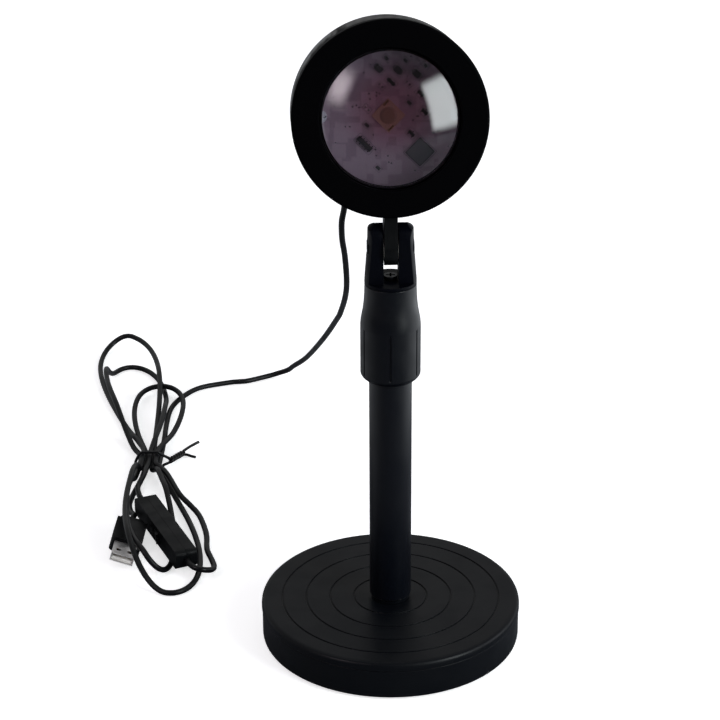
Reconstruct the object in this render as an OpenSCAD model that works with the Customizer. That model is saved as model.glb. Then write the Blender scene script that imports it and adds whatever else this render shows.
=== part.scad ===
// Sunset projection lamp on a telescopic stand, with its cord, switch and plug.
// Origin: centre of the base's underside. +Z up, the lamp faces -Y. Millimetres.

/* [Base] */
// Diameter of the round base
base_d = 125; // [112:1:150]
// Height of the base from the table to the top of its lid
base_h = 20; // [18.5:0.5:26]
// Height of the seam between the shell and the lid
seam_h = 15.6; // [14:0.2:16.4]
// Radius of the lid's rounded shoulder
shoulder_r = 2.6; // [1.5:0.1:2.8]
// Wall of the base's mouldings
base_wall = 2; // [1.6:0.1:2.4]
// Thickness of the soft pad under the base
pad_t = 1.2; // [0.8:0.1:1.6]
// Width of the soft pad ring
pad_w = 12; // [8:1:16]
// Distance between the lid's rings, the first one measured from the centre
ring_step = 11.6; // [10:0.2:12.2]
// Number of rings in the lid
rings = 4; // [1:1:4]
// Width of each ring's groove
ring_w = 0.9; // [0.6:0.1:1.2]
// Depth of each ring's groove
ring_deep = 0.5; // [0.3:0.1:0.8]

/* [Stand] */
// Outer diameter of the outer tube
tube_d = 20; // [18:0.5:21]
// Wall of the outer tube
tube_wall = 1.4; // [1:0.1:1.6]
// Height of the foot plug's neck, between the lid and the tube
neck_h = 2.6; // [1.5:0.1:4]
// Height of the lock collar's lower end
collar_z = 139; // [125:1:150]
// Length of the lock collar
collar_len = 46.5; // [44:0.5:52]
// Largest diameter of the lock collar
collar_d = 28; // [26.5:0.5:32]
// Diameter of the lock collar's upper end, which is also the fork's foot
collar_top_d = 24; // [23:0.5:25.5]
// Number of upright grooves round the collar
grip_count = 6; // [3:1:10]
// Width of a grip groove
grip_w = 1; // [0.6:0.1:1.6]
// Depth of a grip groove
grip_deep = 0.6; // [0.4:0.1:0.9]
// Outer diameter of the inner tube
inner_d = 16; // [14.5:0.5:16]
// Travel of the inner tube when it is pulled out
travel = 90; // [40:5:90]

/* [Fork] */
// Height of the cross pin above the fork's foot
pin_rise = 17.5; // [16.5:0.5:22]
// Diameter of the fork at its ears' top
fork_top_d = 21; // [19.5:0.5:22]
// Thickness of the fork from its front flat to its rear flat
fork_t = 12.4; // [11:0.2:14]
// Width of the slot between the ears
slot_w = 7; // [6:0.2:8]
// Diameter of the cross pin
pin_d = 4; // [3:0.5:5]
// Turn of the fork and the head to one side, at rest
turn_rest = 3; // [-20:1:20]

/* [Head] */
// Diameter of the head
head_d = 88.5; // [80:0.5:92]
// Length of the head's straight barrel with its front ring
barrel_len = 38; // [36:1:46]
// Wall of the barrel
barrel_wall = 2.4; // [2:0.2:3]
// Thickness of the front ring
bezel_t = 9; // [8.5:0.5:10]
// Diameter of the ring's opening
mouth_d = 63.5; // [58:0.5:66]
// Depth from the ring's front to the lens's flat back
lens_set = 13; // [12.5:0.5:13.5]
// Height of the lens's dome
lens_sag = 11; // [8:0.5:11]
// Depth of the rear cover behind the barrel
cover_len = 9; // [7:0.5:12]
// Height of the head's centre above the cross pin
head_rise = 59.2; // [59:0.2:64]
// Distance from the ring's front to the tongue's centre plane
tongue_y = 15; // [14:0.5:18]
// Tilt of the head at rest, facing up
tilt_rest = 14; // [0:0.5:25]
// Number of vent slots in the rear cover
vents = 12; // [8:1:14]

/* [Cord] */
// Diameter of the cord
cord_d = 3; // [2.8:0.1:3.1]
// Length of the in-line switch
switch_len = 66; // [60:1:70]
// Thickness of the in-line switch, from its rocker's face to its back
switch_w = 11.5; // [11:0.5:14]
// Height of the in-line switch as it lies
switch_h = 10; // [9.5:0.5:14]
// Length of the plug's moulded grip
plug_len = 26; // [24:1:32]
// Width of the plug's moulded grip
plug_w = 16; // [14.5:0.5:17]
// Thickness of the plug's moulded grip
plug_h = 8.5; // [7.5:0.5:9]
// Diameter of the tie's wire
wire_d = 1.6; // [1:0.1:1.6]

/* [Hidden] */
$fn = 96;
fine = 160;
gap = 0.3;
fit = 0.05;
eps = 0.01;

// Base
base_r = base_d / 2;
shell_r = base_r - 0.3;
inner_base_r = shell_r - base_wall;
shell_floor_top = pad_t + base_wall;
lid_web_z = base_h - base_wall - 0.4;
skirt_h = 3;
recess_r = 11;
ring_from = 6;
recess_top = pad_t + 5.4;
weight_top = seam_h - skirt_h - 0.4;
bolt_d = 6;
bolt_head_d = 12;
bolt_head_h = 3.4;
washer_d = 16;
washer_t = 1.2;

// Foot plug and tubes
tube_r = tube_d / 2;
tube_bore_r = tube_r - tube_wall;
tube_z = base_h + neck_h;
plug_rise = 22;
foot_boss_r = 7;
collar_top = collar_z + collar_len;
sleeve_z = collar_z + gap;
sleeve_top = collar_z + 19;
sleeve_r = tube_r + 1;
lip_h = 1;
lip_r = collar_d / 2 - 1.4;
tube_top = sleeve_top;
inner_r = inner_d / 2;
inner_wall = 1.2;
spigot_h = 3;
inner_top = collar_top - spigot_h;
inner_z = tube_top - travel - 21;
bush_h = 14;
plug_top_h = 16;

// Collet and collar
collet_z = tube_top + gap;
collet_top = collet_z + 14;
collet_r = tube_r - 0.6;
cone_top_r = collet_r + gap;
cone_z = tube_top + 0.5;
collar_bore_r = sleeve_r + gap;

// Fork and pin
fork_z = collar_top + gap;
fork_foot_r = collar_top_d / 2;
fork_top_r = fork_top_d / 2;
pin_z = fork_z + pin_rise - gap;
ear_top = pin_z + 11.5;
slot_floor = fork_z + 1.4;
spigot_r = inner_r + 0.7;
tongue_w = slot_w - 0.9;
knuckle_r = 8.3;
swivel_d = 4;
swivel_head_d = 6.4;
swivel_head_h = 1.8;
pin_head_d = 7;
pin_head_h = 2.4;
pin_sink = 2.1;
nut_flats = 7;
nut_h = 2.4;

// Head, measured along its own axis from the tongue's plane: front is -Y
head_r = head_d / 2;
front_y = -tongue_y;
bezel_back = front_y + bezel_t;
barrel_back = front_y + barrel_len;
mouth_r = mouth_d / 2;
lens_r = mouth_r - 0.9;
lens_edge = 2;
lens_flat = front_y + lens_set;
seat_r = lens_r + 0.25;
lip_in_r = lens_r - 1.2;
ring_bore_r = mouth_r + 3.4;
gasket_t = 1;
retainer_t = 2;
retainer_y = lens_flat + gasket_t;
board_screw_x = 26;
board_r = 34;
board_y = retainer_y + retainer_t + 6;
board_t = 1.6;
led_w = 9;
sink_y = board_y + board_t;
sink_t = 3;
sink_fin = 4;
fin_count = 9;
shelf_w = 5;
cover_y = barrel_back;
cover_r = head_r - 6;
post_r = 3;
post_ring = head_r - barrel_wall - post_r + 0.2;
screw_r = 1.2;
screw_head_r = 2.4;
gland_x = -21;
gland_z = -15;
gland_r = 3.4;

cover_back = cover_y + cover_len;
gland_tip = cover_back + 9;

// Cord: sizes, and where the switch, the plug and the tie lie
cord_r = cord_d / 2;
wire_r = wire_d / 2;
floor_z = cord_r + 0.05;
socket = 3;
switch_x = -117;
switch_y = 84.5;
switch_turn = -66;
rocker_lean = 7;
plug_x = -136.2;
plug_y = 83;
plug_turn = -92;
plug_roll = -18;
shell_w = 12;
shell_h = 4.5;
shell_out = 12.5;
tie_x = -133;
tie_y = 170;
run_half = 7;
layer_step = cord_d + 0.7;
tie_lift = wire_d + 0.1;
loop_steps = 14;
RUNS = [[5.5, 0], [-3.7, 1], [1.85, 0], [-5.5, 0], [0.2, 1], [4, 1], [-1.85, 0]];

// Loops of the hank, in the order the cord takes them: [way along Y, side of the
// first strand, lean, length, width, place, height and half length of the climb,
// roundness of the tip, fullness of the waist's end, place and height of a short climb]
LOOPS = [[-1, 1, 9.4, 132.2, 31.4, 0.63, 16.9, 0.6, 1.68, 0.94, -0.53, 0.4],
         [1, -1, -11.3, 151, 32.4, 0.28, 8, 0.6, 1.66, 1.22, 0.4, 0.1],
         [-1, 1, 7.6, 113.5, 18.6, 0.42, 13.4, 0.65, 1.7, 0.71, -0.82, 8.7],
         [1, -1, -9.2, 120.8, 25.2, -0.61, 14, 0.38, 1.27, 0.24, 0.81, 7.1],
         [1, 1, -1.6, 86.1, 21.7, -0.11, 3.5, 1.15, 1.38, 0.55, 0.91, 0.2]];

// Routes chosen by hand along the cord, from the head down to the floor
HEAD_ROUTE = [[-22.5, 57.5, 231.5], [-21.5, 62.5, 222], [-21.5, 63, 210], [-22, 63.5, 198],
              [-23.5, 67, 188], [-23.5, 75, 175.5], [-22.5, 84, 163.5]];
MID_ROUTE = [[-22, 100, 143.5], [-23, 115, 128], [-26, 135, 110], [-28.5, 149, 99.5],
             [-36.5, 190, 70]];
DROP_ROUTE = [[-48, 243, 33.5], [-57, 271, 14.5],
              [-60.5, 279.5, 8], [-65.5, 285, 3.6], [-72.5, 284.2, 1.7],
              [-84, 278, floor_z], [-90, 276.6, floor_z]];
FLOOR_ROUTE = [[-90, 276.6, floor_z], [-96, 275.2, floor_z], [-112.5, 268, floor_z],
               [-122, 255, floor_z], [-127, 240.5, floor_z], [-128, 221.5, floor_z],
               [-127.5, 200, 2.2]];
LEAD_ROUTE = [[-132.8, 163, 6.8], [-134.2, 148, 7], [-136, 134, 7.4]];
TAIL_ROUTE = [[-99.5, 47.6, 7.8], [-95.9, 46.6, 7.1], [-92.5, 47.8, 6], [-90.3, 50.7, 4.8],
              [-90, 57, 3], [-91.8, 65.5, 1.9], [-95, 77, floor_z],
              [-96.5, 93, floor_z], [-101.5, 112.5, floor_z], [-107.5, 123, 2.6],
              [-113.5, 130, 5.4], [-121.5, 150, 6.6]];
PLUG_ROUTE = [[-134.8, 163, 3.1], [-136.3, 150, 2.2], [-139, 136, floor_z],
              [-139.8, 124, 1.9], [-137.8, 112.5, 3.9], [-135.4, 106, 5.6]];

// Places a head piece: the head's own axis runs along Y, its centre over the pin
module at_fork() {
    rotate([0, 0, turn_rest]) children();
}

module at_head() {
    at_fork() translate([0, 0, pin_z]) rotate([-tilt_rest, 0, 0])
        translate([0, 0, head_rise]) children();
}

// Turns a profile of [radius, depth] points round the head's axis
module round_head(points) {
    rotate([-90, 0, 0]) rotate_extrude($fn = fine) polygon(points);
}

// A round bar along the head's axis, from one depth to another
module head_bar(radius, from_y, to_y) {
    translate([0, from_y, 0]) rotate([-90, 0, 0]) cylinder(r = radius, h = to_y - from_y);
}

// A tube along Z
module tube(outer_r, bore_r, from_z, to_z) {
    rotate_extrude() translate([bore_r, from_z]) square([outer_r - bore_r, to_z - from_z]);
}

// Quarter round, from the side wall at one height to the flat above it
function quarter(radius, at_r, at_z, steps) =
    [for (i = [0:steps]) let (a = i * 90 / steps)
        [at_r - radius + radius * cos(a), at_z - radius + radius * sin(a)]];

module base_shell() {
    color("#17181b") rotate_extrude($fn = fine) polygon(concat(
        [[recess_r, pad_t], [shell_r - 1, pad_t], [shell_r, pad_t + 1], [shell_r, seam_h],
         [inner_base_r, seam_h], [inner_base_r, shell_floor_top],
         [recess_r + base_wall, shell_floor_top],
         [recess_r + base_wall, recess_top + base_wall],
         [bolt_d / 2 + 0.3, recess_top + base_wall], [bolt_d / 2 + 0.3, recess_top],
         [recess_r, recess_top]]));
}

// The lid: shoulder, flat web with its rings, skirt inside the shell and a boss
module base_lid() {
    boss_foot = recess_top + base_wall;
    color("#191a1d") difference() {
        rotate_extrude($fn = fine) polygon(concat(
            [[bolt_d / 2 + 0.3, boss_foot], [foot_boss_r, boss_foot],
             [foot_boss_r, lid_web_z], [inner_base_r - base_wall - 0.1, lid_web_z],
             [inner_base_r - base_wall - 0.1, seam_h - skirt_h],
             [inner_base_r - 0.1, seam_h - skirt_h],
             [inner_base_r - 0.1, seam_h + 0.25], [base_r, seam_h + 0.25]],
            quarter(shoulder_r, base_r, base_h, 8),
            [[bolt_d / 2 + 0.3, base_h]]));
        for (i = [1:rings])
            tube(i * ring_step + ring_from + ring_w / 2, i * ring_step + ring_from - ring_w / 2,
                base_h - ring_deep, base_h + 1);
    }
}

module base_weight() {
    color("#5c5e60") tube(inner_base_r - 0.6, recess_r + base_wall + 0.6,
        shell_floor_top, weight_top);
}

module foot_pad() {
    color("#101112") tube(shell_r - 3, shell_r - 3 - pad_w, 0, pad_t);
}

module base_washer() {
    color("#9a9c9e") tube(washer_d / 2, bolt_d / 2 + 0.3, recess_top - washer_t, recess_top);
}

module base_bolt() {
    head_top = recess_top - washer_t;
    color("#8d8f92") {
        difference() {
            translate([0, 0, head_top - bolt_head_h])
                cylinder(d = bolt_head_d, h = bolt_head_h, $fn = 64);
            translate([0, 0, head_top - bolt_head_h - 1])
                cylinder(d = 5 / cos(30), h = 3, $fn = 6);
        }
        translate([0, 0, head_top - eps]) cylinder(d = bolt_d, h = base_h + 12 - head_top);
    }
}

// The plug under the tube: a neck that stands on the lid and a spigot in the tube
module foot_plug() {
    color("#141518") difference() {
        rotate_extrude() polygon([
            [0, base_h], [tube_r - 0.9, base_h], [tube_r - 0.9, base_h + neck_h - 0.9],
            [tube_r, base_h + neck_h], [tube_bore_r - fit, base_h + neck_h],
            [tube_bore_r - fit, tube_z + plug_rise - 1],
            [tube_bore_r - fit - 1, tube_z + plug_rise], [0, tube_z + plug_rise]]);
        translate([0, 0, base_h - 1]) cylinder(d = bolt_d + 2 * fit, h = 16);
    }
}

module outer_tube() {
    color("#1b1c1f") tube(tube_r, tube_bore_r, tube_z, tube_top);
}

// Sleeve fixed on the tube's top: the collar screws down it, and its lip shows below
module thread_sleeve() {
    color("#15161a") rotate_extrude() polygon([
        [tube_r + fit, collar_z - lip_h], [lip_r - 1, collar_z - lip_h],
        [lip_r, collar_z - gap], [sleeve_r, collar_z - gap],
        [sleeve_r, sleeve_top], [tube_r + fit, sleeve_top]]);
}

// Split ring that the collar squeezes on the inner tube
module lock_collet() {
    color("#3a3c40") difference() {
        rotate_extrude() polygon([
            [inner_r + fit, collet_z], [collet_r, collet_z], [collet_r, collet_top - 4],
            [collet_r - 0.7, collet_top], [inner_r + fit, collet_top]]);
        for (a = [45:90:359])
            rotate([0, 0, a]) translate([0, -0.6, collet_z + 3])
                cube([tube_d, 1.2, collet_top]);
    }
}

module lock_collar() {
    bore_top = collar_top - spigot_h - gap;
    groove_top = collar_z + 26;
    color("#16171a") difference() {
        rotate_extrude($fn = fine) polygon([
            [collar_bore_r, collar_z], [collar_d / 2 - 0.9, collar_z],
            [collar_d / 2, collar_z + 1.8], [collar_d / 2, collar_z + 24],
            [collar_top_d / 2 + 0.3, collar_top - 9], [collar_top_d / 2, collar_top - 0.4],
            [collar_top_d / 2 - 0.4, collar_top], [spigot_r + gap, collar_top],
            [spigot_r + gap, bore_top], [inner_r + gap, bore_top],
            [inner_r + gap, bore_top - 3], [cone_top_r, bore_top - 5],
            [cone_top_r, cone_z + 3], [collar_bore_r, cone_z]]);
        for (i = [0:grip_count - 1]) rotate([0, 0, i * 360 / grip_count - 90]) {
            translate([collar_d / 2 - grip_deep, -grip_w / 2, collar_z + 2.4])
                cube([3, grip_w, 22.5]);
            translate([collar_d / 2 - grip_deep, 0, collar_z + 24.9]) rotate([0, 90, 0])
                cylinder(d = grip_w, h = 3, $fn = 24);
        }
    }
}

module inner_tube() {
    color("#1d1e21") tube(inner_r, inner_r - inner_wall, inner_z, inner_top);
}

// Bush on the inner tube's lower end, sliding in the outer tube
module guide_bush() {
    color("#d8d8d4") tube(tube_bore_r - 0.1, inner_r + 0.02, inner_z, inner_z + bush_h);
}

module tube_plug() {
    plug_z = inner_top - plug_top_h;
    color("#303236") difference() {
        translate([0, 0, plug_z]) cylinder(r = inner_r - inner_wall - fit, h = plug_top_h);
        translate([0, 0, plug_z - 1]) cylinder(d = swivel_d + 2 * fit, h = plug_top_h + 2);
    }
}

// Upright screw through the fork's floor, on which the fork turns
module swivel_screw() {
    color("#77797c") difference() {
        union() {
            translate([0, 0, slot_floor + gap]) cylinder(d = swivel_head_d, h = swivel_head_h);
            translate([0, 0, inner_top - 13])
                cylinder(d = swivel_d, h = slot_floor + gap - inner_top + 13 + eps);
        }
        translate([0, 0, slot_floor + gap + 0.8]) for (a = [0, 90])
            rotate([0, 0, a]) translate([-2, -0.4, 0]) cube([4, 0.8, 2]);
    }
}

// Ears' outline seen from the side: straight flats with a round top
module ear_side() {
    top_r = fork_t / 2;
    rotate([90, 0, 90]) linear_extrude(height = 40, center = true) union() {
        translate([-top_r, fork_z - spigot_h - 1])
            square([fork_t, ear_top - top_r - fork_z + spigot_h + 1]);
        translate([0, ear_top - top_r]) circle(r = top_r);
    }
}

module fork() {
    color("#15161a") at_fork() difference() {
        union() {
            intersection() {
                rotate_extrude($fn = fine) polygon([
                    [0, fork_z], [fork_foot_r, fork_z], [fork_foot_r, fork_z + 1.5],
                    [fork_top_r + 0.2, pin_z + 2], [fork_top_r, ear_top - 2],
                    [fork_top_r - 3, ear_top], [0, ear_top]]);
                ear_side();
            }
            translate([0, 0, collar_top - spigot_h + gap])
                cylinder(r = spigot_r, h = spigot_h + eps);
            translate([0, 0, fork_z]) cylinder(r = fork_foot_r, h = 1.4);
        }
        translate([-slot_w / 2, -20, slot_floor]) cube([slot_w, 40, 60]);
        translate([0, 0, collar_top - 10]) cylinder(d = swivel_d + 2 * fit, h = 20);
        translate([-20, 0, pin_z]) rotate([0, 90, 0]) cylinder(d = pin_d + 2 * fit, h = 40);
        translate([fork_top_r - pin_sink, 0, pin_z]) rotate([0, 90, 0])
            cylinder(d = pin_head_d + 0.4, h = 10);
        translate([-fork_top_r + pin_sink, 0, pin_z]) rotate([0, -90, 0])
            cylinder(d = (nut_flats + 0.3) / cos(30), h = 10, $fn = 6);
    }
}

module pivot_screw() {
    seat_x = fork_top_r - pin_sink;
    color("#3b3d41") at_fork() translate([0, 0, pin_z]) rotate([0, 90, 0]) difference() {
        union() {
            translate([0, 0, -fork_top_r - 0.3]) cylinder(d = pin_d, h = seat_x + fork_top_r + 0.31);
            translate([0, 0, seat_x]) cylinder(d = pin_head_d, h = pin_head_h);
        }
        translate([0, 0, seat_x + 1]) cylinder(d = 3 / cos(30), h = 3, $fn = 6);
    }
}

module pivot_nut() {
    color("#3b3d41") at_fork() translate([-fork_top_r + pin_sink, 0, pin_z])
        rotate([0, -90, 0]) difference() {
            cylinder(d = nut_flats / cos(30), h = nut_h, $fn = 6);
            translate([0, 0, -1]) cylinder(d = pin_d + 2 * fit, h = nut_h + 2);
        }
}

// Thin washers on both sides of the tongue
module friction_washers() {
    washer_gap = (slot_w - tongue_w) / 2;
    color("#c9c6bd") at_fork() for (side = [-1, 1])
        translate([side * (tongue_w / 2 + washer_gap / 2), 0, pin_z]) rotate([0, 90, 0])
            difference() {
                cylinder(r = 5.5, h = washer_gap - 0.1, center = true);
                cylinder(d = pin_d + 2 * fit, h = 5, center = true);
            }
}

// Barrel of the head: open tube with an inner shelf, screw posts and the tongue below
module barrel() {
    bore_r = head_r - barrel_wall;
    shelf_y = sink_y + sink_t;
    color("#121316") at_head() difference() {
        union() {
            round_head([[bore_r, bezel_back], [head_r, bezel_back], [head_r, barrel_back],
                [bore_r, barrel_back], [bore_r, shelf_y + 2.5], [bore_r - shelf_w, shelf_y + 2.5],
                [bore_r - shelf_w, shelf_y], [bore_r, shelf_y]]);
            for (a = [90:120:359]) rotate([0, a, 0])
                translate([post_ring, 0, 0]) head_bar(post_r, shelf_y + 1, barrel_back);
            tongue();
        }
        for (a = [90:120:359]) rotate([0, a, 0])
            translate([post_ring, 0, 0]) head_bar(screw_r + fit, barrel_back - 8, barrel_back + 1);
    }
}

// The tongue: a flat lug with a round knuckle, spread where it meets the barrel
module tongue() {
    foot_r = head_r - barrel_wall / 2;
    difference() {
        rotate([90, 0, 90]) linear_extrude(height = tongue_w, center = true) union() {
            translate([0, -head_rise]) circle(r = knuckle_r);
            translate([-knuckle_r, -head_rise])
                square([2 * knuckle_r, head_rise - foot_r]);
        }
        translate([-20, 0, -head_rise]) rotate([0, 90, 0])
            cylinder(d = pin_d + 0.1, h = 40);
        head_bar(head_r + fit, front_y - 1, bezel_back);
    }
}

// Front ring: flat face, rounded outer edge, stepped bore that holds the lens
module front_ring() {
    color("#0d0e10") at_head() round_head(concat(
        [[mouth_r, front_y + 0.5], [mouth_r + 0.5, front_y], [head_r - 1.6, front_y],
         [head_r - 0.5, front_y + 0.5], [head_r, front_y + 1.6], [head_r, bezel_back - 0.05],
         [head_r - barrel_wall - 0.15, bezel_back - 0.05],
         [head_r - barrel_wall - 0.15, retainer_y + retainer_t + 1],
         [ring_bore_r, retainer_y + retainer_t + 1], [ring_bore_r, lens_flat],
         [seat_r, lens_flat], [seat_r, lens_flat - lens_edge],
         [lip_in_r + 0.9, lens_flat - lens_edge - 0.1],
         [lip_in_r + 0.9, lens_flat - lens_edge - 1.2], [mouth_r - 0.6, front_y + 4]]));
}

// Plano-convex glass: its flat back to the board, its dome in the ring's opening
module lens() {
    dome_r = lens_r - 0.9;
    ball = (dome_r * dome_r + lens_sag * lens_sag) / (2 * lens_sag);
    color("#b9c0cc", 0.4) at_head() rotate([-90, 0, 0]) rotate_extrude($fn = fine)
        intersection() {
            union() {
                translate([0, lens_flat - lens_edge]) square([lens_r, lens_edge]);
                intersection() {
                    translate([0, lens_flat - lens_edge - lens_sag + ball])
                        circle(r = ball, $fn = 240);
                    translate([0, lens_flat - lens_edge - lens_sag])
                        square([dome_r, lens_sag + eps]);
                }
            }
            translate([0, -60]) square([80, 120]);
        }
}

module lens_gasket() {
    color("#202124") at_head() round_head([
        [lens_r - 2.5, lens_flat], [lens_r + 1.5, lens_flat],
        [lens_r + 1.5, lens_flat + gasket_t], [lens_r - 2.5, lens_flat + gasket_t]]);
}

module lens_retainer() {
    color("#1c1d20") at_head() difference() {
        round_head([
            [lens_r - 2.5, retainer_y], [ring_bore_r - 0.1, retainer_y],
            [ring_bore_r - 0.1, retainer_y + retainer_t], [lens_r - 2.5, retainer_y + retainer_t]]);
        for (a = [30:90:359]) rotate([0, a, 0])
            translate([lens_r + 1.4, retainer_y - 1, -1.5]) cube([10, retainer_t + 2, 3]);
    }
}

module led_board() {
    color("#c9c7cc") at_head() difference() {
        head_bar(board_r, board_y, board_y + board_t);
        for (side = [-1, 1]) translate([side * board_screw_x, 0, 0])
            head_bar(1.7, board_y - 1, board_y + board_t + 1);
    }
}

// Square LED, turned 45 degrees, with its pale frame and its round emitter
module led() {
    color("#d9c98a") at_head() rotate([0, 45, 0]) {
        translate([-led_w / 2, board_y - 0.9, -led_w / 2]) cube([led_w, 0.9, led_w]);
        head_bar(led_w * 0.36, board_y - 1.4, board_y - 0.85);
    }
}

// Small parts soldered on the board, all set along its diagonals:
// [along, across, length, width, height]
BOARD_PARTS = [
    [15, -6, 4, 2.6, 1.4], [15, 1, 4, 2.6, 1.4], [15, 8, 4, 2.6, 1.4],
    [19, -8, 2, 1.2, 0.7], [20, -2, 2, 1.2, 0.7], [19, 5, 2, 1.2, 0.7],
    [11, -9, 2, 1.2, 0.7], [10, -3, 4, 1.8, 1], [10, 4, 2.4, 1.2, 0.7],
    [9, 10, 3, 2.4, 1.2], [2, 13, 3, 2.4, 1.2], [-3, 10, 2, 1.2, 0.7],
    [-2, -12, 2.4, 1.2, 0.7], [-5, -17, 7, 3, 1.6], [-13, 12, 8, 8, 1],
    [-11, 3, 3, 2.2, 1.2], [-12, -5, 2, 1.2, 0.7], [4, -10, 2, 1.2, 0.7]];

module board_parts() {
    color("#26262b") at_head() rotate([0, 45, 0]) for (p = BOARD_PARTS)
        translate([p[0] - p[2] / 2, board_y - p[4], p[1] - p[3] / 2])
            cube([p[2], p[4], p[3]]);
}

// Aluminium plate behind the board, with straight fins towards the cover
module heat_sink() {
    plate_r = head_r - barrel_wall - 1;
    fin_r = cover_r - 9;
    color("#a4a6a9") at_head() difference() {
        union() {
            head_bar(plate_r, sink_y, sink_y + sink_t);
            intersection() {
                head_bar(fin_r, sink_y, sink_y + sink_t + sink_fin);
                for (i = [0:fin_count - 1])
                    translate([(i - (fin_count - 1) / 2) * 6 - 0.8, sink_y + 1, -50])
                        cube([1.6, 20, 100]);
            }
        }
        for (side = [-1, 1]) translate([side * board_screw_x, 0, 0])
            head_bar(screw_r + fit, sink_y - 1, sink_y + 30);
        for (a = [90:120:359]) rotate([0, a, 0])
            translate([post_ring, 0, 0]) head_bar(post_r + 0.6, sink_y - 1, sink_y + 30);
    }
}

module board_screws() {
    color("#8d8f92") at_head() for (side = [-1, 1]) translate([side * board_screw_x, 0, 0]) {
        head_bar(screw_head_r, board_y - 1.4, board_y);
        head_bar(screw_r, board_y - eps, board_y + board_t + 3);
    }
}

// Rear cover: a dished cap with radial vents, screwed to the barrel's posts
module rear_cover() {
    back = cover_y + cover_len;
    color("#131417") at_head() difference() {
        round_head([
            [0, back - 2.2], [cover_r - 4, back - 2.2], [head_r - 3.6, cover_y + 2.4],
            [head_r - 3.6, cover_y + gap / 3], [head_r, cover_y + gap / 3],
            [head_r, cover_y + 1.4], [head_r - 0.7, cover_y + 2.6],
            [cover_r, back - 1.6], [cover_r - 2, back - 0.4], [cover_r - 4, back], [0, back]]);
        for (i = [0:vents - 1]) rotate([0, (i + 0.5) * 360 / vents, 0]) {
            translate([12, back - 5, -1]) cube([12, 10, 2]);
            for (x = [12, 24]) translate([x, 0, 0]) head_bar(1, back - 5, back + 1);
        }
        translate([gland_x, 0, gland_z]) head_bar(gland_r, back - 6, back + 1);
    }
}

module cover_screws() {
    color("#26282b") at_head() for (a = [90:120:359]) rotate([0, a, 0])
        translate([post_ring, 0, 0]) head_bar(screw_r, barrel_back - 7, barrel_back);
}

module cable_gland() {
    back = cover_y + cover_len;
    color("#0f1012") at_head() translate([gland_x, 0, gland_z]) difference() {
        round_head([[0, back - 4], [gland_r + 1, back - 4], [gland_r + 1, back - 2.4],
            [gland_r - fit, back - 2.4], [gland_r - fit, back], [gland_r + 1.2, back],
            [gland_r + 1.2, back + 1.6], [cord_d / 2 + 1.2, back + 9], [0, back + 9]]);
        head_bar(cord_r + fit, back + 1, back + 20);
    }
}

// A point of the head, given along its own axis, in the lamp's frame
function head_point(p) =
    let (z = p[2] + head_rise, c = cos(tilt_rest), s = sin(tilt_rest),
         y = p[1] * c + z * s)
        [p[0] * cos(turn_rest) - y * sin(turn_rest),
         p[0] * sin(turn_rest) + y * cos(turn_rest), pin_z + z * c - p[1] * s];

function switch_point(x) =
    [switch_x + x * cos(switch_turn), switch_y + x * sin(switch_turn), switch_z()];

function plug_point(x) =
    [plug_x + x * cos(plug_turn), plug_y + x * sin(plug_turn), plug_z()];

// Heights of the switch's and the plug's axes: the switch lies on the cords under
// it, and the plug stands on its lower edge
function switch_z() = cord_d + 0.1 + switch_h / 2;
function plug_z() = plug_h / 2 * cos(plug_roll) - plug_w / 2 * sin(plug_roll);

function unit(v) = v / norm(v);
function ease(u) = let (v = min(max(u, 0), 1)) v * v * (3 - 2 * v);

// Smooth curve through a route's points
function curve(p, steps) =
    let (last = len(p) - 1,
         q = concat([2 * p[0] - p[1]], p, [2 * p[last] - p[last - 1]]))
        concat([for (i = [1:last], k = [0:steps - 1]) let (t = k / steps)
            (2 * q[i] + (q[i + 1] - q[i - 1]) * t
             + (2 * q[i - 1] - 5 * q[i] + 4 * q[i + 1] - q[i + 2]) * t * t
             + (3 * q[i] - 3 * q[i + 1] + q[i + 2] - q[i - 1]) * t * t * t) / 2],
            [p[last]]);

// One loop of the hank, from one run through the tie to the next
function loop(l, run_in, run_out) = [for (i = [0:2 * loop_steps])
    let (v = i / loop_steps - 1, w = 90 * pow(1 - abs(v), 0.85), m = ease(i / (2 * loop_steps)),
         side = v < 0 ? l[1] : -l[1],
         along = l[3] * pow(sin(w), l[8]),
         across = side * l[4] / 1.54 * sin(2 * w) * pow(sin(w), l[9]),
         lane = run_in[0] * (1 - m) + run_out[0] * m,
         low = ((v < 0 ? run_in[1] : run_out[1]) * layer_step + tie_lift)
             * ease(1 - along / 45),
         climb = l[6] * min(1, 1.5 * ease(1 - abs(v - l[5]) / l[7])) * ease(along / 25),
         hop = l[11] * min(1, 1.5 * ease(1 - abs(v - l[10]) / 0.3)) * ease(along / 12))
        [tie_x + lane + across * cos(l[2]) + along * sin(l[2]),
         tie_y + l[0] * (run_half + along * cos(l[2])),
         floor_z + pow(pow(low, 4) + pow(climb, 4) + pow(hop, 4), 0.25)]];

free_rings = concat(
    [head_point([gland_x, cover_back + 1, gland_z])],
    curve(concat([head_point([gland_x, gland_tip, gland_z]),
                  head_point([gland_x, gland_tip + cord_d, gland_z])],
                 HEAD_ROUTE, MID_ROUTE, DROP_ROUTE), 3));
head_last = 1 + 3 * (len(HEAD_ROUTE) + 1);
mid_last = head_last + 3 * len(MID_ROUTE);

hank_rings = concat(curve(concat(FLOOR_ROUTE, [loop(LOOPS[0], RUNS[0], RUNS[1])[0]
        + [0, 2 * run_half, 0]]), 3),
    loop(LOOPS[0], RUNS[0], RUNS[1]), loop(LOOPS[1], RUNS[1], RUNS[2]),
    loop(LOOPS[2], RUNS[2], RUNS[3]), loop(LOOPS[3], RUNS[3], RUNS[4]),
    curve(concat(LEAD_ROUTE, [switch_point(-switch_len / 2 - 3 * cord_d),
                              switch_point(-switch_len / 2 - cord_d)]), 3),
    [switch_point(-switch_len / 2 + socket)]);

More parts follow.
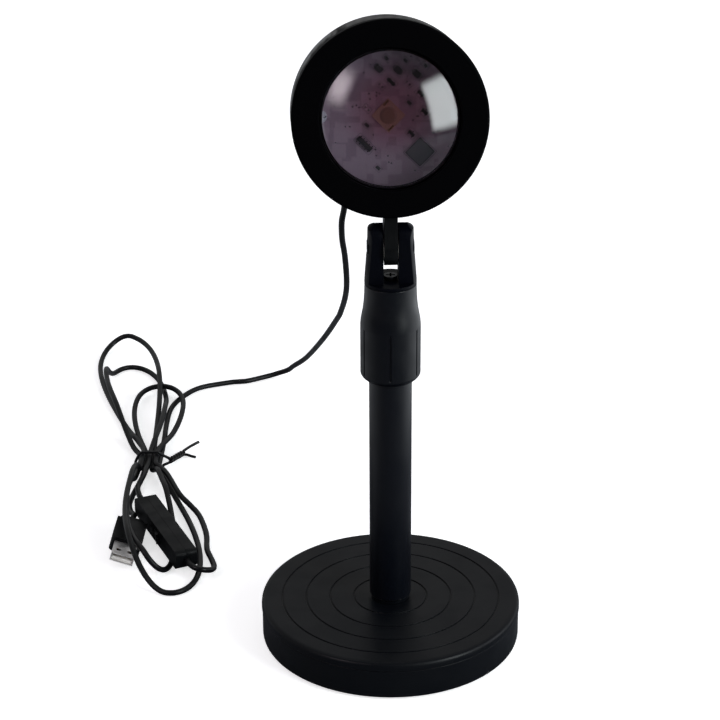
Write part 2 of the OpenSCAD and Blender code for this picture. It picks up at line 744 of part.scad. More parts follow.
tail_rings = concat([switch_point(switch_len / 2 - socket)],
    curve(concat([switch_point(switch_len / 2 + 1), switch_point(switch_len / 2 + 4)], TAIL_ROUTE,
                 [loop(LOOPS[4], RUNS[5], RUNS[6])[0] - [0, 2 * run_half, 0]]), 3),
    loop(LOOPS[4], RUNS[5], RUNS[6]),
    curve(concat(PLUG_ROUTE, [plug_point(-plug_len / 2 - 2 * cord_d),
                              plug_point(-plug_len / 2 - cord_d)]), 3),
    [plug_point(-plug_len / 2 + socket)]);

// The floor carries a route that would dip below it
function settle(p) = [for (q = p) [q[0], q[1], max(q[2], cord_r + 0.02)]];

// Headings along a route, and a side direction carried from ring to ring
function headings(p) = [for (i = [0:len(p) - 1])
    unit(p[min(i + 1, len(p) - 1)] - p[max(i - 1, 0)])];
function sides(t) = [for (i = 0, s = unit(cross(t[0], [0.2, 0.3, 1])); i < len(t);
    i = i + 1, s = i < len(t) ? unit(s - t[i] * (s * t[i])) : s) s];

// Least distance between two routes' axes, or of a route to itself past a run of points
function finer(p) = [for (i = [0:len(p) - 2], k = [0:0.25:0.9]) p[i] * (1 - k) + p[i + 1] * k];
function least(p, q, skip) = min([for (i = [0:len(p) - 1], j = [0:len(q) - 1])
    if (skip == 0 || j > i + skip) norm(p[i] - q[j])]);

echo(hank_gap = least(finer(hank_rings), finer(hank_rings), 20) - cord_d);
echo(tail_gap = least(finer(tail_rings), finer(tail_rings), 20) - cord_d);
echo(hank_to_tail = least(finer(hank_rings), finer(tail_rings), 0) - cord_d);

// Round tube swept along a route, or a stretch of it, one ring of points at each of its
// points; neighbouring stretches of one route meet in the same ring
module swept(route, radius, count, from = 0, to = 1000) {
    heads = headings(route);
    side = sides(heads);
    end = min(to, len(route) - 1);
    last = end - from;
    points = [for (i = [from:end], k = [0:count - 1]) let (a = k * 360 / count)
        route[i] + radius * (cos(a) * side[i] + sin(a) * cross(heads[i], side[i]))];
    skin = [for (i = [0:last - 1], k = [0:count - 1])
        let (a = i * count + k, b = i * count + (k + 1) % count)
            each [[a, a + count, b], [b, a + count, b + count]]];
    caps = [for (k = [1:count - 2])
        each [[0, k, k + 1], [last * count, last * count + k + 1, last * count + k]]];
    polyhedron(points, concat(skin, caps));
}

module cord_head() {
    color("#101013") swept(settle(free_rings), cord_r, 8, 0, head_last);
}

module cord_mid() {
    color("#1b1b20") swept(settle(free_rings), cord_r, 8, head_last, mid_last);
}

module cord_drop() {
    color("#101013") swept(settle(free_rings), cord_r, 8, mid_last);
}

// The hank: two loops down and two loops up through the tie, then on to the switch
module hank() {
    color("#15151a") swept(settle(hank_rings), cord_r, 6);
}

// From the switch back through the tie, one loop, then on to the plug
module tail() {
    color("#1b1b22") swept(settle(tail_rings), cord_r, 6);
}

// Wire of the tie: in along the twisted pair, once round the runs and out again
PAIR_FROM = [-121.9, 171.8, 3.7];
PAIR_TO = [-115.5, 184, 2.2];
pair_r = wire_r + 0.25;
function pair_point(t, phase) =
    let (h = unit(PAIR_TO - PAIR_FROM), s = unit(cross(h, [0, 0, 1])), u = cross(s, h),
         a = phase + 1080 * t)
        PAIR_FROM * (1 - t) + PAIR_TO * t + pair_r * (cos(a) * s + sin(a) * u);
// Round the outer runs of both layers: [run, layer, from angle, to angle, steps]
TIE_ROUND = [[4, 1, 22, 90, 3], [-3.7, 1, 90, 154, 3], [-5.5, 0, 154, 270, 5],
             [5.5, 0, 270, 340, 3]];
tie_off = cord_r + wire_r + 0.08;
tie_round = [for (t = TIE_ROUND, k = [0:t[4]]) let (a = t[2] + (t[3] - t[2]) * k / t[4])
    [tie_x + t[0] + tie_off * cos(a), floor_z + tie_lift + t[1] * layer_step + tie_off * sin(a)]];
tie_last = len(tie_round) - 1;
tie_rings = concat(
    [[-107.6, 195.7, 3], [-110.3, 193.8, 2.4], [-112.8, 189.9, 2.6]],
    [for (i = [18:-1:0]) pair_point(i / 18, 90)],
    [for (i = [0:tie_last]) [tie_round[i][0], tie_y + 1.2 - 2.4 * i / tie_last, tie_round[i][1]]],
    [for (i = [0:18]) pair_point(i / 18, -90)],
    [[-113.4, 183.6, 1.1], [-111.3, 181.8, 1.3], [-108.6, 180, 1.5]]);

module twist_tie() {
    color("#0c0c0e") swept(tie_rings, wire_r, 6);
}

// Rectangle with round corners
module slab(long, wide, radius) {
    square([long - 2 * radius, wide], center = true);
    square([long, wide - 2 * radius], center = true);
    for (x = [-1, 1], y = [-1, 1])
        translate([x * (long / 2 - radius), y * (wide / 2 - radius)]) circle(r = radius, $fn = 32);
}

module at_switch() {
    translate([switch_x, switch_y, switch_z()]) rotate([0, 0, switch_turn]) children();
}

// Half of the switch's case, its inner face on the axis of the cord
module switch_half(out) {
    difference() {
        rotate([90, 0, 0]) translate([0, 0, out > 0 ? 0.02 : -switch_w / 2])
            linear_extrude(height = switch_w / 2 - 0.02) slab(switch_len, switch_h, 2.6);
        for (x = [-1, 1]) translate([x * (switch_len / 2 - socket), 0, 0])
            rotate([0, x * 90, 0]) cylinder(r = cord_r + fit, h = socket + 1, $fn = 48);
    }
}

module switch_front() {
    color("#131316") at_switch() difference() {
        switch_half(1);
        translate([-7.8, -switch_w, -3.1]) cube([15.6, switch_w - 1, 6.2]);
        translate([0, 2.2 - switch_w / 2, 0]) cylinder(d = 1.9, h = 7.8, center = true, $fn = 32);
    }
}

module switch_back() {
    color("#151518") at_switch() switch_half(-1);
}

// Rocker: a shallow dish on a pin, its end towards the tail standing out at rest
module rocker() {
    color("#0d0d0f") at_switch() translate([0, 2.2 - switch_w / 2, 0])
        rotate([0, 0, -rocker_lean]) {
            linear_extrude(height = 5.8, center = true) polygon([
                [-7.2, -3.1], [0, -2.2], [7.2, -3.1], [7.2, -0.6], [2, 1], [-2, 1], [-7.2, -0.6]]);
            cylinder(d = 1.8, h = 7.4, center = true, $fn = 32);
        }
}

module at_plug() {
    translate([plug_x, plug_y, plug_z()]) rotate([0, 0, plug_turn]) rotate([plug_roll, 0, 0])
        children();
}

// Moulded grip, narrower where the cord enters
module plug_body() {
    color("#141417") at_plug() difference() {
        union() {
            linear_extrude(height = plug_h, center = true) intersection() {
                slab(plug_len, plug_w, 2.5);
                translate([plug_len / 2 - 4, 0]) square([2 * plug_len - 16, plug_w], center = true);
            }
            linear_extrude(height = plug_h - 1.6, center = true)
                slab(plug_len, plug_w - 3, 3);
        }
        translate([-plug_len / 2 - 1, 0, 0]) rotate([0, 90, 0])
            cylinder(r = cord_r + fit, h = socket + 1, $fn = 48);
        translate([plug_len / 2 - 4, -shell_w / 2 - fit, -shell_h / 2 - fit])
            cube([10, shell_w + 2 * fit, shell_h + 2 * fit]);
    }
}

// Folded metal shell with its square windows, two above and two below
module plug_shell() {
    from_x = plug_len / 2 - 4;
    wall = 0.4;
    color("#c8c9cc") at_plug() difference() {
        translate([from_x, -shell_w / 2, -shell_h / 2]) cube([4 + shell_out, shell_w, shell_h]);
        translate([from_x - 1, wall - shell_w / 2, wall - shell_h / 2])
            cube([6 + shell_out, shell_w - 2 * wall, shell_h - 2 * wall]);
        for (y = [-1, 1]) translate([from_x + 10.4, y * 2.9 - 1.1, -5]) cube([2.2, 2.2, 10]);
    }
}

module plug_insulator() {
    color("#e6e6e2") at_plug() translate([plug_len / 2 - 4, 0, 0.4 - shell_h / 2 + fit])
        translate([0, -5.4, 0]) cube([3 + shell_out, 10.8, 1.7]);
}

module plug_contacts() {
    color("#c9a55a") at_plug() for (y = [-3.5, -1, 1, 3.5])
        translate([plug_len / 2 + 1, y - 0.5, 2.1 + fit - shell_h / 2]) cube([8.4, 1, 0.3]);
}

base_shell();
base_lid();
base_weight();
foot_pad();
base_washer();
base_bolt();
foot_plug();
outer_tube();
thread_sleeve();
lock_collet();
lock_collar();
inner_tube();
guide_bush();
tube_plug();
swivel_screw();
fork();
pivot_screw();
pivot_nut();
friction_washers();
barrel();
front_ring();
lens();
lens_gasket();
lens_retainer();
led_board();
led();
board_parts();
heat_sink();
board_screws();
rear_cover();
cover_screws();
cable_gland();
cord_head();
cord_mid();
cord_drop();
hank();
tail();
twist_tie();
switch_front();
switch_back();
rocker();
plug_body();
plug_shell();
plug_insulator();
plug_contacts();
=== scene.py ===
"""Looks of a sunset projection lamp on a telescopic stand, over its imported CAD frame.

Lengths are typed in millimetres and turned to metres by MM, and only the studio's are in
metres. The frame is the part's own: origin at the centre of the base's underside, +Z up, and
the lamp faces -Y.
"""
import math
import random

import bmesh
import bpy
from mathutils import Matrix, Vector


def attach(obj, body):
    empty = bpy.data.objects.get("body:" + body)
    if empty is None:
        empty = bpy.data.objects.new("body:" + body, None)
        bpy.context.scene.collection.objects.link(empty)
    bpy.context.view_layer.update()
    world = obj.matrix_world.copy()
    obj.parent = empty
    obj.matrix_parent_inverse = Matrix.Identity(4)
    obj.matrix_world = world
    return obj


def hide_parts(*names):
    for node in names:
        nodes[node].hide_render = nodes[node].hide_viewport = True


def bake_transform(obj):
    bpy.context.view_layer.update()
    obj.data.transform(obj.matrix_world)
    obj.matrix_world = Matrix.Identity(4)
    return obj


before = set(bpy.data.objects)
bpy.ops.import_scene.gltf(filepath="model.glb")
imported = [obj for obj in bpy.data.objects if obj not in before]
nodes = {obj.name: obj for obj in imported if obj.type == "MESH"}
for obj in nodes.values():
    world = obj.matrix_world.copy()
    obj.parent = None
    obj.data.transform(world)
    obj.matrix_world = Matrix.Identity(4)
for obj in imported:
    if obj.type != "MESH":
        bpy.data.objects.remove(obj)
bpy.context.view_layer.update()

# ---------------------------------------------------------------- Camera
# The photograph was taken from about a metre in front of the lamp with a long lens, from
# 25 degrees above the table and with a very slight roll. The picture is 720 pixels square.
MM = 0.001
CAMERA_AT = Vector((0, -1021, 627.8)) * MM
CAMERA_LENS, SENSOR_W, NEAR, FAR = 121.69, 36, 0.02, 30
PITCH, SWING, ROLL = (math.radians(a) for a in (25.25, -0.793, -0.31))


def place_object(name, data):
    """A new object in the scene, with the data given."""
    made = bpy.data.objects.new(name, data)
    bpy.context.scene.collection.objects.link(made)
    return made


level = Vector((math.cos(SWING), -math.sin(SWING), 0))
ahead = Vector((math.sin(SWING), math.cos(SWING), 0))
upright = Vector((0, 0, 1))
sight = ahead * math.cos(PITCH) - upright * math.sin(PITCH)
crown = ahead * math.sin(PITCH) + upright * math.cos(PITCH)
camera_x = level * math.cos(ROLL) + crown * math.sin(ROLL)
camera_y = crown * math.cos(ROLL) - level * math.sin(ROLL)
lens_data = bpy.data.cameras.new("photo_lens")
lens_data.lens = CAMERA_LENS
lens_data.sensor_width = SENSOR_W
lens_data.clip_start = NEAR
lens_data.clip_end = FAR
camera = place_object("photo_camera", lens_data)
camera.matrix_world = (Matrix.Translation(CAMERA_AT)
                       @ Matrix((camera_x, camera_y, -sight)).transposed().to_4x4())
bpy.context.scene.camera = camera

# ---------------------------------------------------------------- Cord
# Thin round USB lead: two cores in a black soft PVC jacket, extruded in one length. It
# leaves the gland behind the head, drops to the table and runs into the tied hank.
CORD_D = 3.0
CORD_R = CORD_D / 2
FLOOR_Z = CORD_R + 0.05
HEAD_TURN, HEAD_TILT = math.radians(3), math.radians(14)
PIN_Z, HEAD_RISE = 203.0, 59.2
COVER_BACK = 32.0
GLAND_TIP = COVER_BACK + 9
GLAND_AT = (-21.0, -15.0)
SWITCH = (Vector((-117, 84.5, 8.1)), math.radians(-66), 66.0)
GRIP_HALF_W, GRIP_HALF_H, PLUG_ROLL = 8, 4.25, math.radians(-18)
PLUG_Z = GRIP_HALF_H * math.cos(PLUG_ROLL) - GRIP_HALF_W * math.sin(PLUG_ROLL)
PLUG = (Vector((-136.2, 83, PLUG_Z)), math.radians(-92), 26.0)
CORD_IN = 3.0
TIE_X, TIE_Y, RUN_HALF = -133.0, 170.0, 7.0
LAYER_STEP, TIE_LIFT = 3.7, 1.7
# Each run through the tie has its place across it and its layer. Each loop has its way and
# first side, its lean, length and width, where, how high and how widely it climbs, the
# shape of its tip and its waist, and where and how high it hops over one more cord.
RUNS = ((5.5, 0), (-3.7, 1), (1.85, 0), (-5.5, 0), (0.2, 1), (4, 1), (-1.85, 0))
LOOPS = (
    (-1, 1, 9.4, 132.2, 31.4, 0.63, 16.9, 0.6, 1.68, 0.94, -0.53, 0.4),
    (1, -1, -11.3, 151, 32.4, 0.28, 8, 0.6, 1.66, 1.22, 0.4, 0.1),
    (-1, 1, 7.6, 113.5, 18.6, 0.42, 13.4, 0.65, 1.7, 0.71, -0.82, 8.7),
    (1, -1, -9.2, 120.8, 25.2, -0.61, 14, 0.38, 1.27, 0.24, 0.81, 7.1),
    (1, 1, -1.6, 86.1, 21.7, -0.11, 3.5, 1.15, 1.38, 0.55, 0.91, 0.2),
)
LOOP_STEPS = 14
EYE_BLUNT, EYE_WIDEST, HOP_SPREAD, PLATEAU = 0.85, 1.54, 0.3, 1.5
STACK_FADE, CLIMB_FADE, HOP_FADE = 45, 25, 12
HEAD_ROUTE = [(-22.5, 57.5, 231.5), (-21.5, 62.5, 222), (-21.5, 63, 210), (-22, 63.5, 198),
              (-23.5, 67, 188), (-23.5, 75, 175.5), (-22.5, 84, 163.5)]
MID_ROUTE = [(-22, 100, 143.5), (-23, 115, 128), (-26, 135, 110), (-28.5, 149, 99.5),
             (-36.5, 190, 70)]
DROP_ROUTE = [(-48, 243, 33.5), (-57, 271, 14.5), (-60.5, 279.5, 8), (-65.5, 285, 3.6),
              (-72.5, 284.2, 1.7), (-84, 278, FLOOR_Z), (-90, 276.6, FLOOR_Z)]
FLOOR_ROUTE = [(-90, 276.6, FLOOR_Z), (-96, 275.2, FLOOR_Z), (-112.5, 268, FLOOR_Z),
               (-122, 255, FLOOR_Z), (-127, 240.5, FLOOR_Z), (-128, 221.5, FLOOR_Z),
               (-127.5, 200, 2.2)]
LEAD_ROUTE = [(-132.8, 163, 6.8), (-134.2, 148, 7), (-136, 134, 7.4)]
TAIL_ROUTE = [(-99.5, 47.6, 7.8), (-95.9, 46.6, 7.1), (-92.5, 47.8, 6), (-90.3, 50.7, 4.8),
              (-90, 57, 3), (-91.8, 65.5, 1.9), (-95, 77, FLOOR_Z), (-96.5, 93, FLOOR_Z),
              (-101.5, 112.5, FLOOR_Z), (-107.5, 123, 2.6), (-113.5, 130, 5.4),
              (-121.5, 150, 6.6)]
PLUG_ROUTE = [(-134.8, 163, 3.1), (-136.3, 150, 2.2), (-139, 136, FLOOR_Z),
              (-139.8, 124, 1.9), (-137.8, 112.5, 3.9), (-135.4, 106, 5.6)]


def vectors(points):
    return [Vector(p) for p in points]


def smooth(points, steps):
    """A soft curve through the points, with so many steps between each two of them."""
    ends = [points[0] * 2 - points[1]] + points + [points[-1] * 2 - points[-2]]
    curve = []
    for a, b, c, d in zip(ends, ends[1:], ends[2:], ends[3:]):
        for k in range(steps):
            t = k / steps
            curve.append((b * 2 + (c - a) * t + (a * 2 - b * 5 + c * 4 - d) * t * t
                          + (b * 3 - c * 3 + d - a) * t ** 3) / 2)
    return curve + [points[-1]]


def ease(u):
    u = min(max(u, 0.0), 1.0)
    return u * u * (3 - 2 * u)


def head_point(x, y, z):
    """A point given along the head's own axis, in the lamp's frame."""
    high = z + HEAD_RISE
    back = y * math.cos(HEAD_TILT) + high * math.sin(HEAD_TILT)
    return Vector((x * math.cos(HEAD_TURN) - back * math.sin(HEAD_TURN),
                   x * math.sin(HEAD_TURN) + back * math.cos(HEAD_TURN),
                   PIN_Z + high * math.cos(HEAD_TILT) - y * math.sin(HEAD_TILT)))


def beyond(piece, end, distance):
    """A point on the axis of the switch or plug, so far beyond one of its ends."""
    middle, turn, length = piece
    return (middle + Vector((math.cos(turn), math.sin(turn), 0))
            * end * (length / 2 + distance))


def hank_loop(row, run_in, run_out):
    """One loop of the hank, from one run through the tie to the next. It leaves the stack
    of runs, climbs over the loops under it, and hops over one more at its own place."""
    (way, first, lean, length, width, place, height, spread, tip, waist,
     hop_place, hop_height) = row
    lean = math.radians(lean)
    points = []
    for i in range(2 * LOOP_STEPS + 1):
        v = i / LOOP_STEPS - 1
        w = math.pi / 2 * (1 - abs(v)) ** EYE_BLUNT
        m = ease(i / (2 * LOOP_STEPS))
        reach = length * math.sin(w) ** tip
        across = ((first if v < 0 else -first) * width / EYE_WIDEST
                  * math.sin(2 * w) * math.sin(w) ** waist)
        lane = run_in[0] * (1 - m) + run_out[0] * m
        low = (((run_in if v < 0 else run_out)[1] * LAYER_STEP + TIE_LIFT)
               * ease(1 - reach / STACK_FADE))
        climb = (height * min(1, PLATEAU * ease(1 - abs(v - place) / spread))
                 * ease(reach / CLIMB_FADE))
        hop = (hop_height * min(1, PLATEAU * ease(1 - abs(v - hop_place) / HOP_SPREAD))
               * ease(reach / HOP_FADE))
        points.append(Vector((
            TIE_X + lane + across * math.cos(lean) + reach * math.sin(lean),
            TIE_Y + way * (RUN_HALF + reach * math.cos(lean)),
            FLOOR_Z + (low ** 4 + climb ** 4 + hop ** 4) ** 0.25)))
    return points


loops = [hank_loop(row, RUNS[a], RUNS[a + 1]) for row, a in zip(LOOPS, (0, 1, 2, 3, 5))]
free_run = [head_point(GLAND_AT[0], COVER_BACK + 1, GLAND_AT[1])] + smooth(
    [head_point(GLAND_AT[0], GLAND_TIP, GLAND_AT[1]),
     head_point(GLAND_AT[0], GLAND_TIP + CORD_D, GLAND_AT[1])]
    + vectors(HEAD_ROUTE + MID_ROUTE + DROP_ROUTE), 3)
head_last = 1 + 3 * (len(HEAD_ROUTE) + 1)
mid_last = head_last + 3 * len(MID_ROUTE)
hank_run = (
    smooth(vectors(FLOOR_ROUTE) + [loops[0][0] + Vector((0, 2 * RUN_HALF, 0))], 3)
    + loops[0] + loops[1] + loops[2] + loops[3]
    + smooth(vectors(LEAD_ROUTE)
             + [beyond(SWITCH, -1, 3 * CORD_D), beyond(SWITCH, -1, CORD_D)], 3)
    + [beyond(SWITCH, -1, -CORD_IN)])
tail_run = (
    [beyond(SWITCH, 1, -CORD_IN)]
    + smooth([beyond(SWITCH, 1, 1), beyond(SWITCH, 1, 4)] + vectors(TAIL_ROUTE)
             + [loops[4][0] - Vector((0, 2 * RUN_HALF, 0))], 3)
    + loops[4]
    + smooth(vectors(PLUG_ROUTE)
             + [beyond(PLUG, -1, 2 * CORD_D), beyond(PLUG, -1, CORD_D)], 3)
    + [beyond(PLUG, -1, -CORD_IN)])


def metres(points, lowest=CORD_R + 0.02):
    """The route in metres, carried by the table where it would dip below it."""
    return [Vector((p.x, p.y, max(p.z, lowest))) * MM for p in points]


def tube(name, route, radius, sides):
    """A closed round tube swept along a route in metres, its rings turned as little as can be."""
    heads = [(route[min(i + 1, len(route) - 1)] - route[max(i - 1, 0)]).normalized()
             for i in range(len(route))]
    side = heads[0].cross(Vector((0.2, 0.3, 1))).normalized()
    points, faces = [], []
    for i, (at, head) in enumerate(zip(route, heads)):
        side = (side - head * side.dot(head)).normalized()
        over = head.cross(side)
        for k in range(sides):
            a = k * 2 * math.pi / sides
            points.append(at + (side * math.cos(a) + over * math.sin(a)) * radius)
        if i:
            for k in range(sides):
                a, b = (i - 1) * sides + k, (i - 1) * sides + (k + 1) % sides
                faces.append((a, b, b + sides, a + sides))
    faces.append(tuple(range(sides - 1, -1, -1)))
    faces.append(tuple(range((len(route) - 1) * sides, len(route) * sides)))
    mesh = bpy.data.meshes.new(name)
    mesh.from_pydata(points, [], faces)
    mesh.shade_smooth()
    for edge in mesh.edges:
        edge.use_edge_sharp = (max(edge.vertices) < sides
                               or min(edge.vertices) >= len(points) - sides)
    return place_object(name, mesh)


def tone(code):
    """An sRGB hex colour as the linear colour that a shader takes."""
    parts = [int(code[i:i + 2], 16) / 255 for i in (1, 3, 5)]
    return tuple(c / 12.92 if c <= 0.04045 else ((c + 0.055) / 1.055) ** 2.4
                 for c in parts) + (1.0,)


def add_node(tree, kind, settings=(), links=()):
    """Adds a node, sets its attributes or sockets, and joins outputs to its sockets."""
    node = tree.nodes.new(kind)
    for key, value in dict(settings).items():
        if isinstance(key, str) and key not in node.inputs:
            setattr(node, key, value)
        else:
            node.inputs[key].default_value = value
    for key, source in dict(links).items():
        tree.links.new(source, node.inputs[key])
    return node


def new_finish(name, colour, roughness, ior=1.5, metallic=0.0, level=0.5):
    """A material with its plain values set on the shader; returns it with its tree and shader."""
    material = bpy.data.materials.new(name)
    material.use_nodes = True
    tree = material.node_tree
    shader = tree.nodes["Principled BSDF"]
    for socket, value in (("Base Color", tone(colour)), ("Roughness", roughness), ("IOR", ior),
                          ("Metallic", metallic), ("Specular IOR Level", level)):
        shader.inputs[socket].default_value = value
    return material, tree, shader


def per_metre(size_mm):
    """A texture's scale for features of a real size in millimetres."""
    return 1000 / size_mm


def on_piece(tree):
    """The place on the piece, in metres."""
    return add_node(tree, "ShaderNodeTexCoord").outputs["Object"]


def noise(tree, where, size_mm, detail, broken=0.5):
    """A cloudy grey pattern with features of a real size."""
    return add_node(tree, "ShaderNodeTexNoise", {
        "Scale": per_metre(size_mm), "Detail": detail, "Roughness": broken},
        {"Vector": where}).outputs["Fac"]


def relief(tree, shader, height, depth_mm, strength):
    """Puts a height pattern on the shader as bump of a real depth."""
    bump = add_node(tree, "ShaderNodeBump",
                    {"Strength": strength, "Distance": depth_mm * MM}, {"Height": height})
    tree.links.new(bump.outputs["Normal"], shader.inputs["Normal"])


def vary(tree, pattern, low, high, start=0.35, stop=0.65):
    """Turns a grey pattern, from start to stop, into a value between two limits."""
    return add_node(tree, "ShaderNodeMapRange", {
        "From Min": start, "From Max": stop, "To Min": low, "To Max": high},
        {"Value": pattern}).outputs["Result"]


# Soft PVC, extruded: an even satin skin with faint drawn waviness and a little bloom, so
# its highlights are soft and slightly broken.
jacket_pvc, tree, shader = new_finish("soft_pvc_extruded_black", "#07080a", 0.36, level=0.2)
where = on_piece(tree)
skin = noise(tree, where, 0.8, 3.0)
bloom = noise(tree, where, 14, 4.0)
tree.links.new(vary(tree, bloom, 0.3, 0.46), shader.inputs["Roughness"])
relief(tree, shader, skin, 0.03, 0.35)


def lay_cord(name, route, sides):
    piece = tube(name, route, CORD_R * MM, sides)
    piece.data.materials.append(jacket_pvc)
    return piece, route, sum((b - a).length for a, b in zip(route, route[1:]))


# From the gland to a point below the head.
free_route = metres(smooth(free_run, 3))
cord_upper, route, length = lay_cord("cord_from_head", free_route[:3 * head_last + 1], 14)
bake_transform(cord_upper)
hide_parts("cord_head")

# The middle stretch, behind the stand.
cord_middle, route, length = lay_cord(
    "cord_behind", free_route[3 * head_last:3 * mid_last + 1], 14)
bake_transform(cord_middle)
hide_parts("cord_mid")

# The lowest stretch, down to the table.
cord_lower, route, length = lay_cord("cord_to_table", free_route[3 * mid_last:], 14)
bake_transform(cord_lower)
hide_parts("cord_drop")

# Two loops down and two loops up through the tie, then on to the in-line switch.
cord_hank, hank_route, hank_length = lay_cord("cord_hank", metres(smooth(hank_run, 3)), 12)
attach(cord_hank, "base")
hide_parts("hank")

# From the switch back through the tie, one more loop, and on to the plug.
cord_tail, tail_route, tail_length = lay_cord("cord_to_plug", metres(smooth(tail_run, 3)), 12)
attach(cord_tail, "base")
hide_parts("tail")

# ---------------------------------------------------------------- Twist tie
# Soft iron wire in a black vinyl coat, put once round the seven runs and twisted three
# times by hand. Its two ends stand off the table.
WIRE_R = 0.8
TIE_ROUND = ((4, 1, 22, 90, 6), (-3.7, 1, 90, 154, 6), (-5.5, 0, 154, 270, 10),
             (5.5, 0, 270, 340, 6))
PAIR_FROM, PAIR_TO = Vector((-121.9, 171.8, 3.7)), Vector((-115.5, 184, 2.2))
PAIR_STEPS, PAIR_TURNS, PAIR_GAP, TIE_SLANT = 36, 3, 0.25, 2.4
tie_off = CORD_R + WIRE_R + 0.08
pair_line = (PAIR_TO - PAIR_FROM).normalized()
pair_side = pair_line.cross(upright).normalized()
pair_over = pair_side.cross(pair_line)


def pair_point(t, phase):
    a = math.radians(phase + 360 * PAIR_TURNS * t)
    return (PAIR_FROM.lerp(PAIR_TO, t)
            + (pair_side * math.cos(a) + pair_over * math.sin(a)) * (WIRE_R + PAIR_GAP))


round_points = []
for run_x, layer, start, stop, steps in TIE_ROUND:
    for k in range(steps + 1):
        a = math.radians(start + (stop - start) * k / steps)
        round_points.append((TIE_X + run_x + tie_off * math.cos(a),
                             FLOOR_Z + TIE_LIFT + layer * LAYER_STEP + tie_off * math.sin(a)))
last = len(round_points) - 1
tie_run = (
    smooth(vectors([(-107.6, 195.7, 3), (-110.3, 193.8, 2.4), (-112.8, 189.9, 2.6)])
           + [pair_point(1, 90)], 4)[:-1]
    + [pair_point(1 - i / PAIR_STEPS, 90) for i in range(PAIR_STEPS + 1)]
    + [Vector((x, TIE_Y + TIE_SLANT * (0.5 - i / last), z))
       for i, (x, z) in enumerate(round_points)]
    + [pair_point(i / PAIR_STEPS, -90) for i in range(PAIR_STEPS)]
    + smooth([pair_point(1, -90)] + vectors([(-113.4, 183.6, 1.1), (-111.3, 181.8, 1.3),
                                             (-108.6, 180, 1.5)]), 4))
twist_tie = tube("twist_tie_wire", metres(tie_run, WIRE_R), WIRE_R * MM, 10)

# Vinyl dip coat: glossier than the jacket, thick at the twists, dull at the cut ends.
coat_vinyl, tree, shader = new_finish("vinyl_dipped_black", "#050507", 0.3, level=0.25)
relief(tree, shader, noise(tree, on_piece(tree), 1.6, 2.0), 0.08, 0.4)
twist_tie.data.materials.append(coat_vinyl)
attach(twist_tie, "base")
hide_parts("twist_tie")

# ---------------------------------------------------------------- In-line switch
# Two black ABS halves that meet on the cord's axis, moulded with a fine matt spark finish,
# and a rocker of glossier ABS that tips on its own pin in the front half.
SAME_POINT, FLAT_WITHIN, EDGE_FROM = 0.004, math.radians(0.4), math.radians(32)


def dress(material, *names):
    """Gives CAD nodes their finish."""
    for name in names:
        nodes[name].data.materials.clear()
        nodes[name].data.materials.append(material)


def soften(width_mm, *names, rings=3):
    """Rounds the moulded or machined edges of CAD nodes by a real radius."""
    for name in names:
        weld = nodes[name].modifiers.new("joined_edges", "WELD")
        weld.merge_threshold = SAME_POINT * MM
        flat = nodes[name].modifiers.new("whole_faces", "DECIMATE")
        flat.decimate_type = "DISSOLVE"
        flat.angle_limit = FLAT_WITHIN
        edge = nodes[name].modifiers.new("soft_edges", "BEVEL")
        edge.width = width_mm * MM
        edge.segments = rings
        edge.limit_method = "ANGLE"
        edge.angle_limit = EDGE_FROM
        edge.use_clamp_overlap = True
        edge.harden_normals = True


def combine(tree, operation, first, second):
    """Joins two values by one operation."""
    return add_node(tree, "ShaderNodeMath", {"operation": operation},
                    {0: first, 1: second}).outputs["Value"]


def grained(name, colour, shine, coarse_mm, fine_mm, depth_mm, strength, by_grit=False, **look):
    """A finish with the relief of its mould or coat: fine grit with a wider unevenness under
    it. The roughness is one value, or two that the surface drifts between."""
    drifts = isinstance(shine, tuple)
    material, tree, shader = new_finish(name, colour, shine[0] if drifts else shine, **look)
    where = on_piece(tree)
    grit = noise(tree, where, fine_mm, 2.0, 0.6)
    wave = noise(tree, where, coarse_mm, 2.0)
    relief(tree, shader, combine(tree, "ADD", grit, wave), depth_mm, strength)
    if drifts:
        tree.links.new(vary(tree, grit if by_grit else wave, *shine), shader.inputs["Roughness"])
    return material


# Matt ABS: the sparked mould scatters the light, so it shows no clear reflections. The grit
# of 0.1 mm is drawn at 0.5 mm so that it shows.
switch_abs = grained("abs_spark_moulded_black", "#050709", (0.44, 0.58), 9, 0.5, 0.02, 0.5,
                     level=0.14)
dress(switch_abs, "switch_front", "switch_back")
soften(0.7, "switch_front", "switch_back")

# The rocker is polished in the mould, so fingers leave it satin with a sharper highlight.
rocker_abs, tree, shader = new_finish("abs_polished_black", "#050608", 0.24, level=0.25)
touch = noise(tree, on_piece(tree), 3, 5.0)
tree.links.new(vary(tree, touch, 0.18, 0.36), shader.inputs["Roughness"])
dress(rocker_abs, "rocker")
soften(0.25, "rocker")

# ---------------------------------------------------------------- USB plug
# A USB-A plug moulded on the cord's end: soft PVC grip, folded nickel-plated steel shell
# with its latch windows, a white PBT tongue and four gold-flashed contacts.

# Overmoulded PVC is a little duller than the jacket and shows the mould's fine grit.
grip_pvc = grained("soft_pvc_moulded_black", "#060709", (0.4, 0.54), 7, 0.6, 0.025, 0.45,
                   level=0.15)
dress(grip_pvc, "plug_body")
soften(0.7, "plug_body")

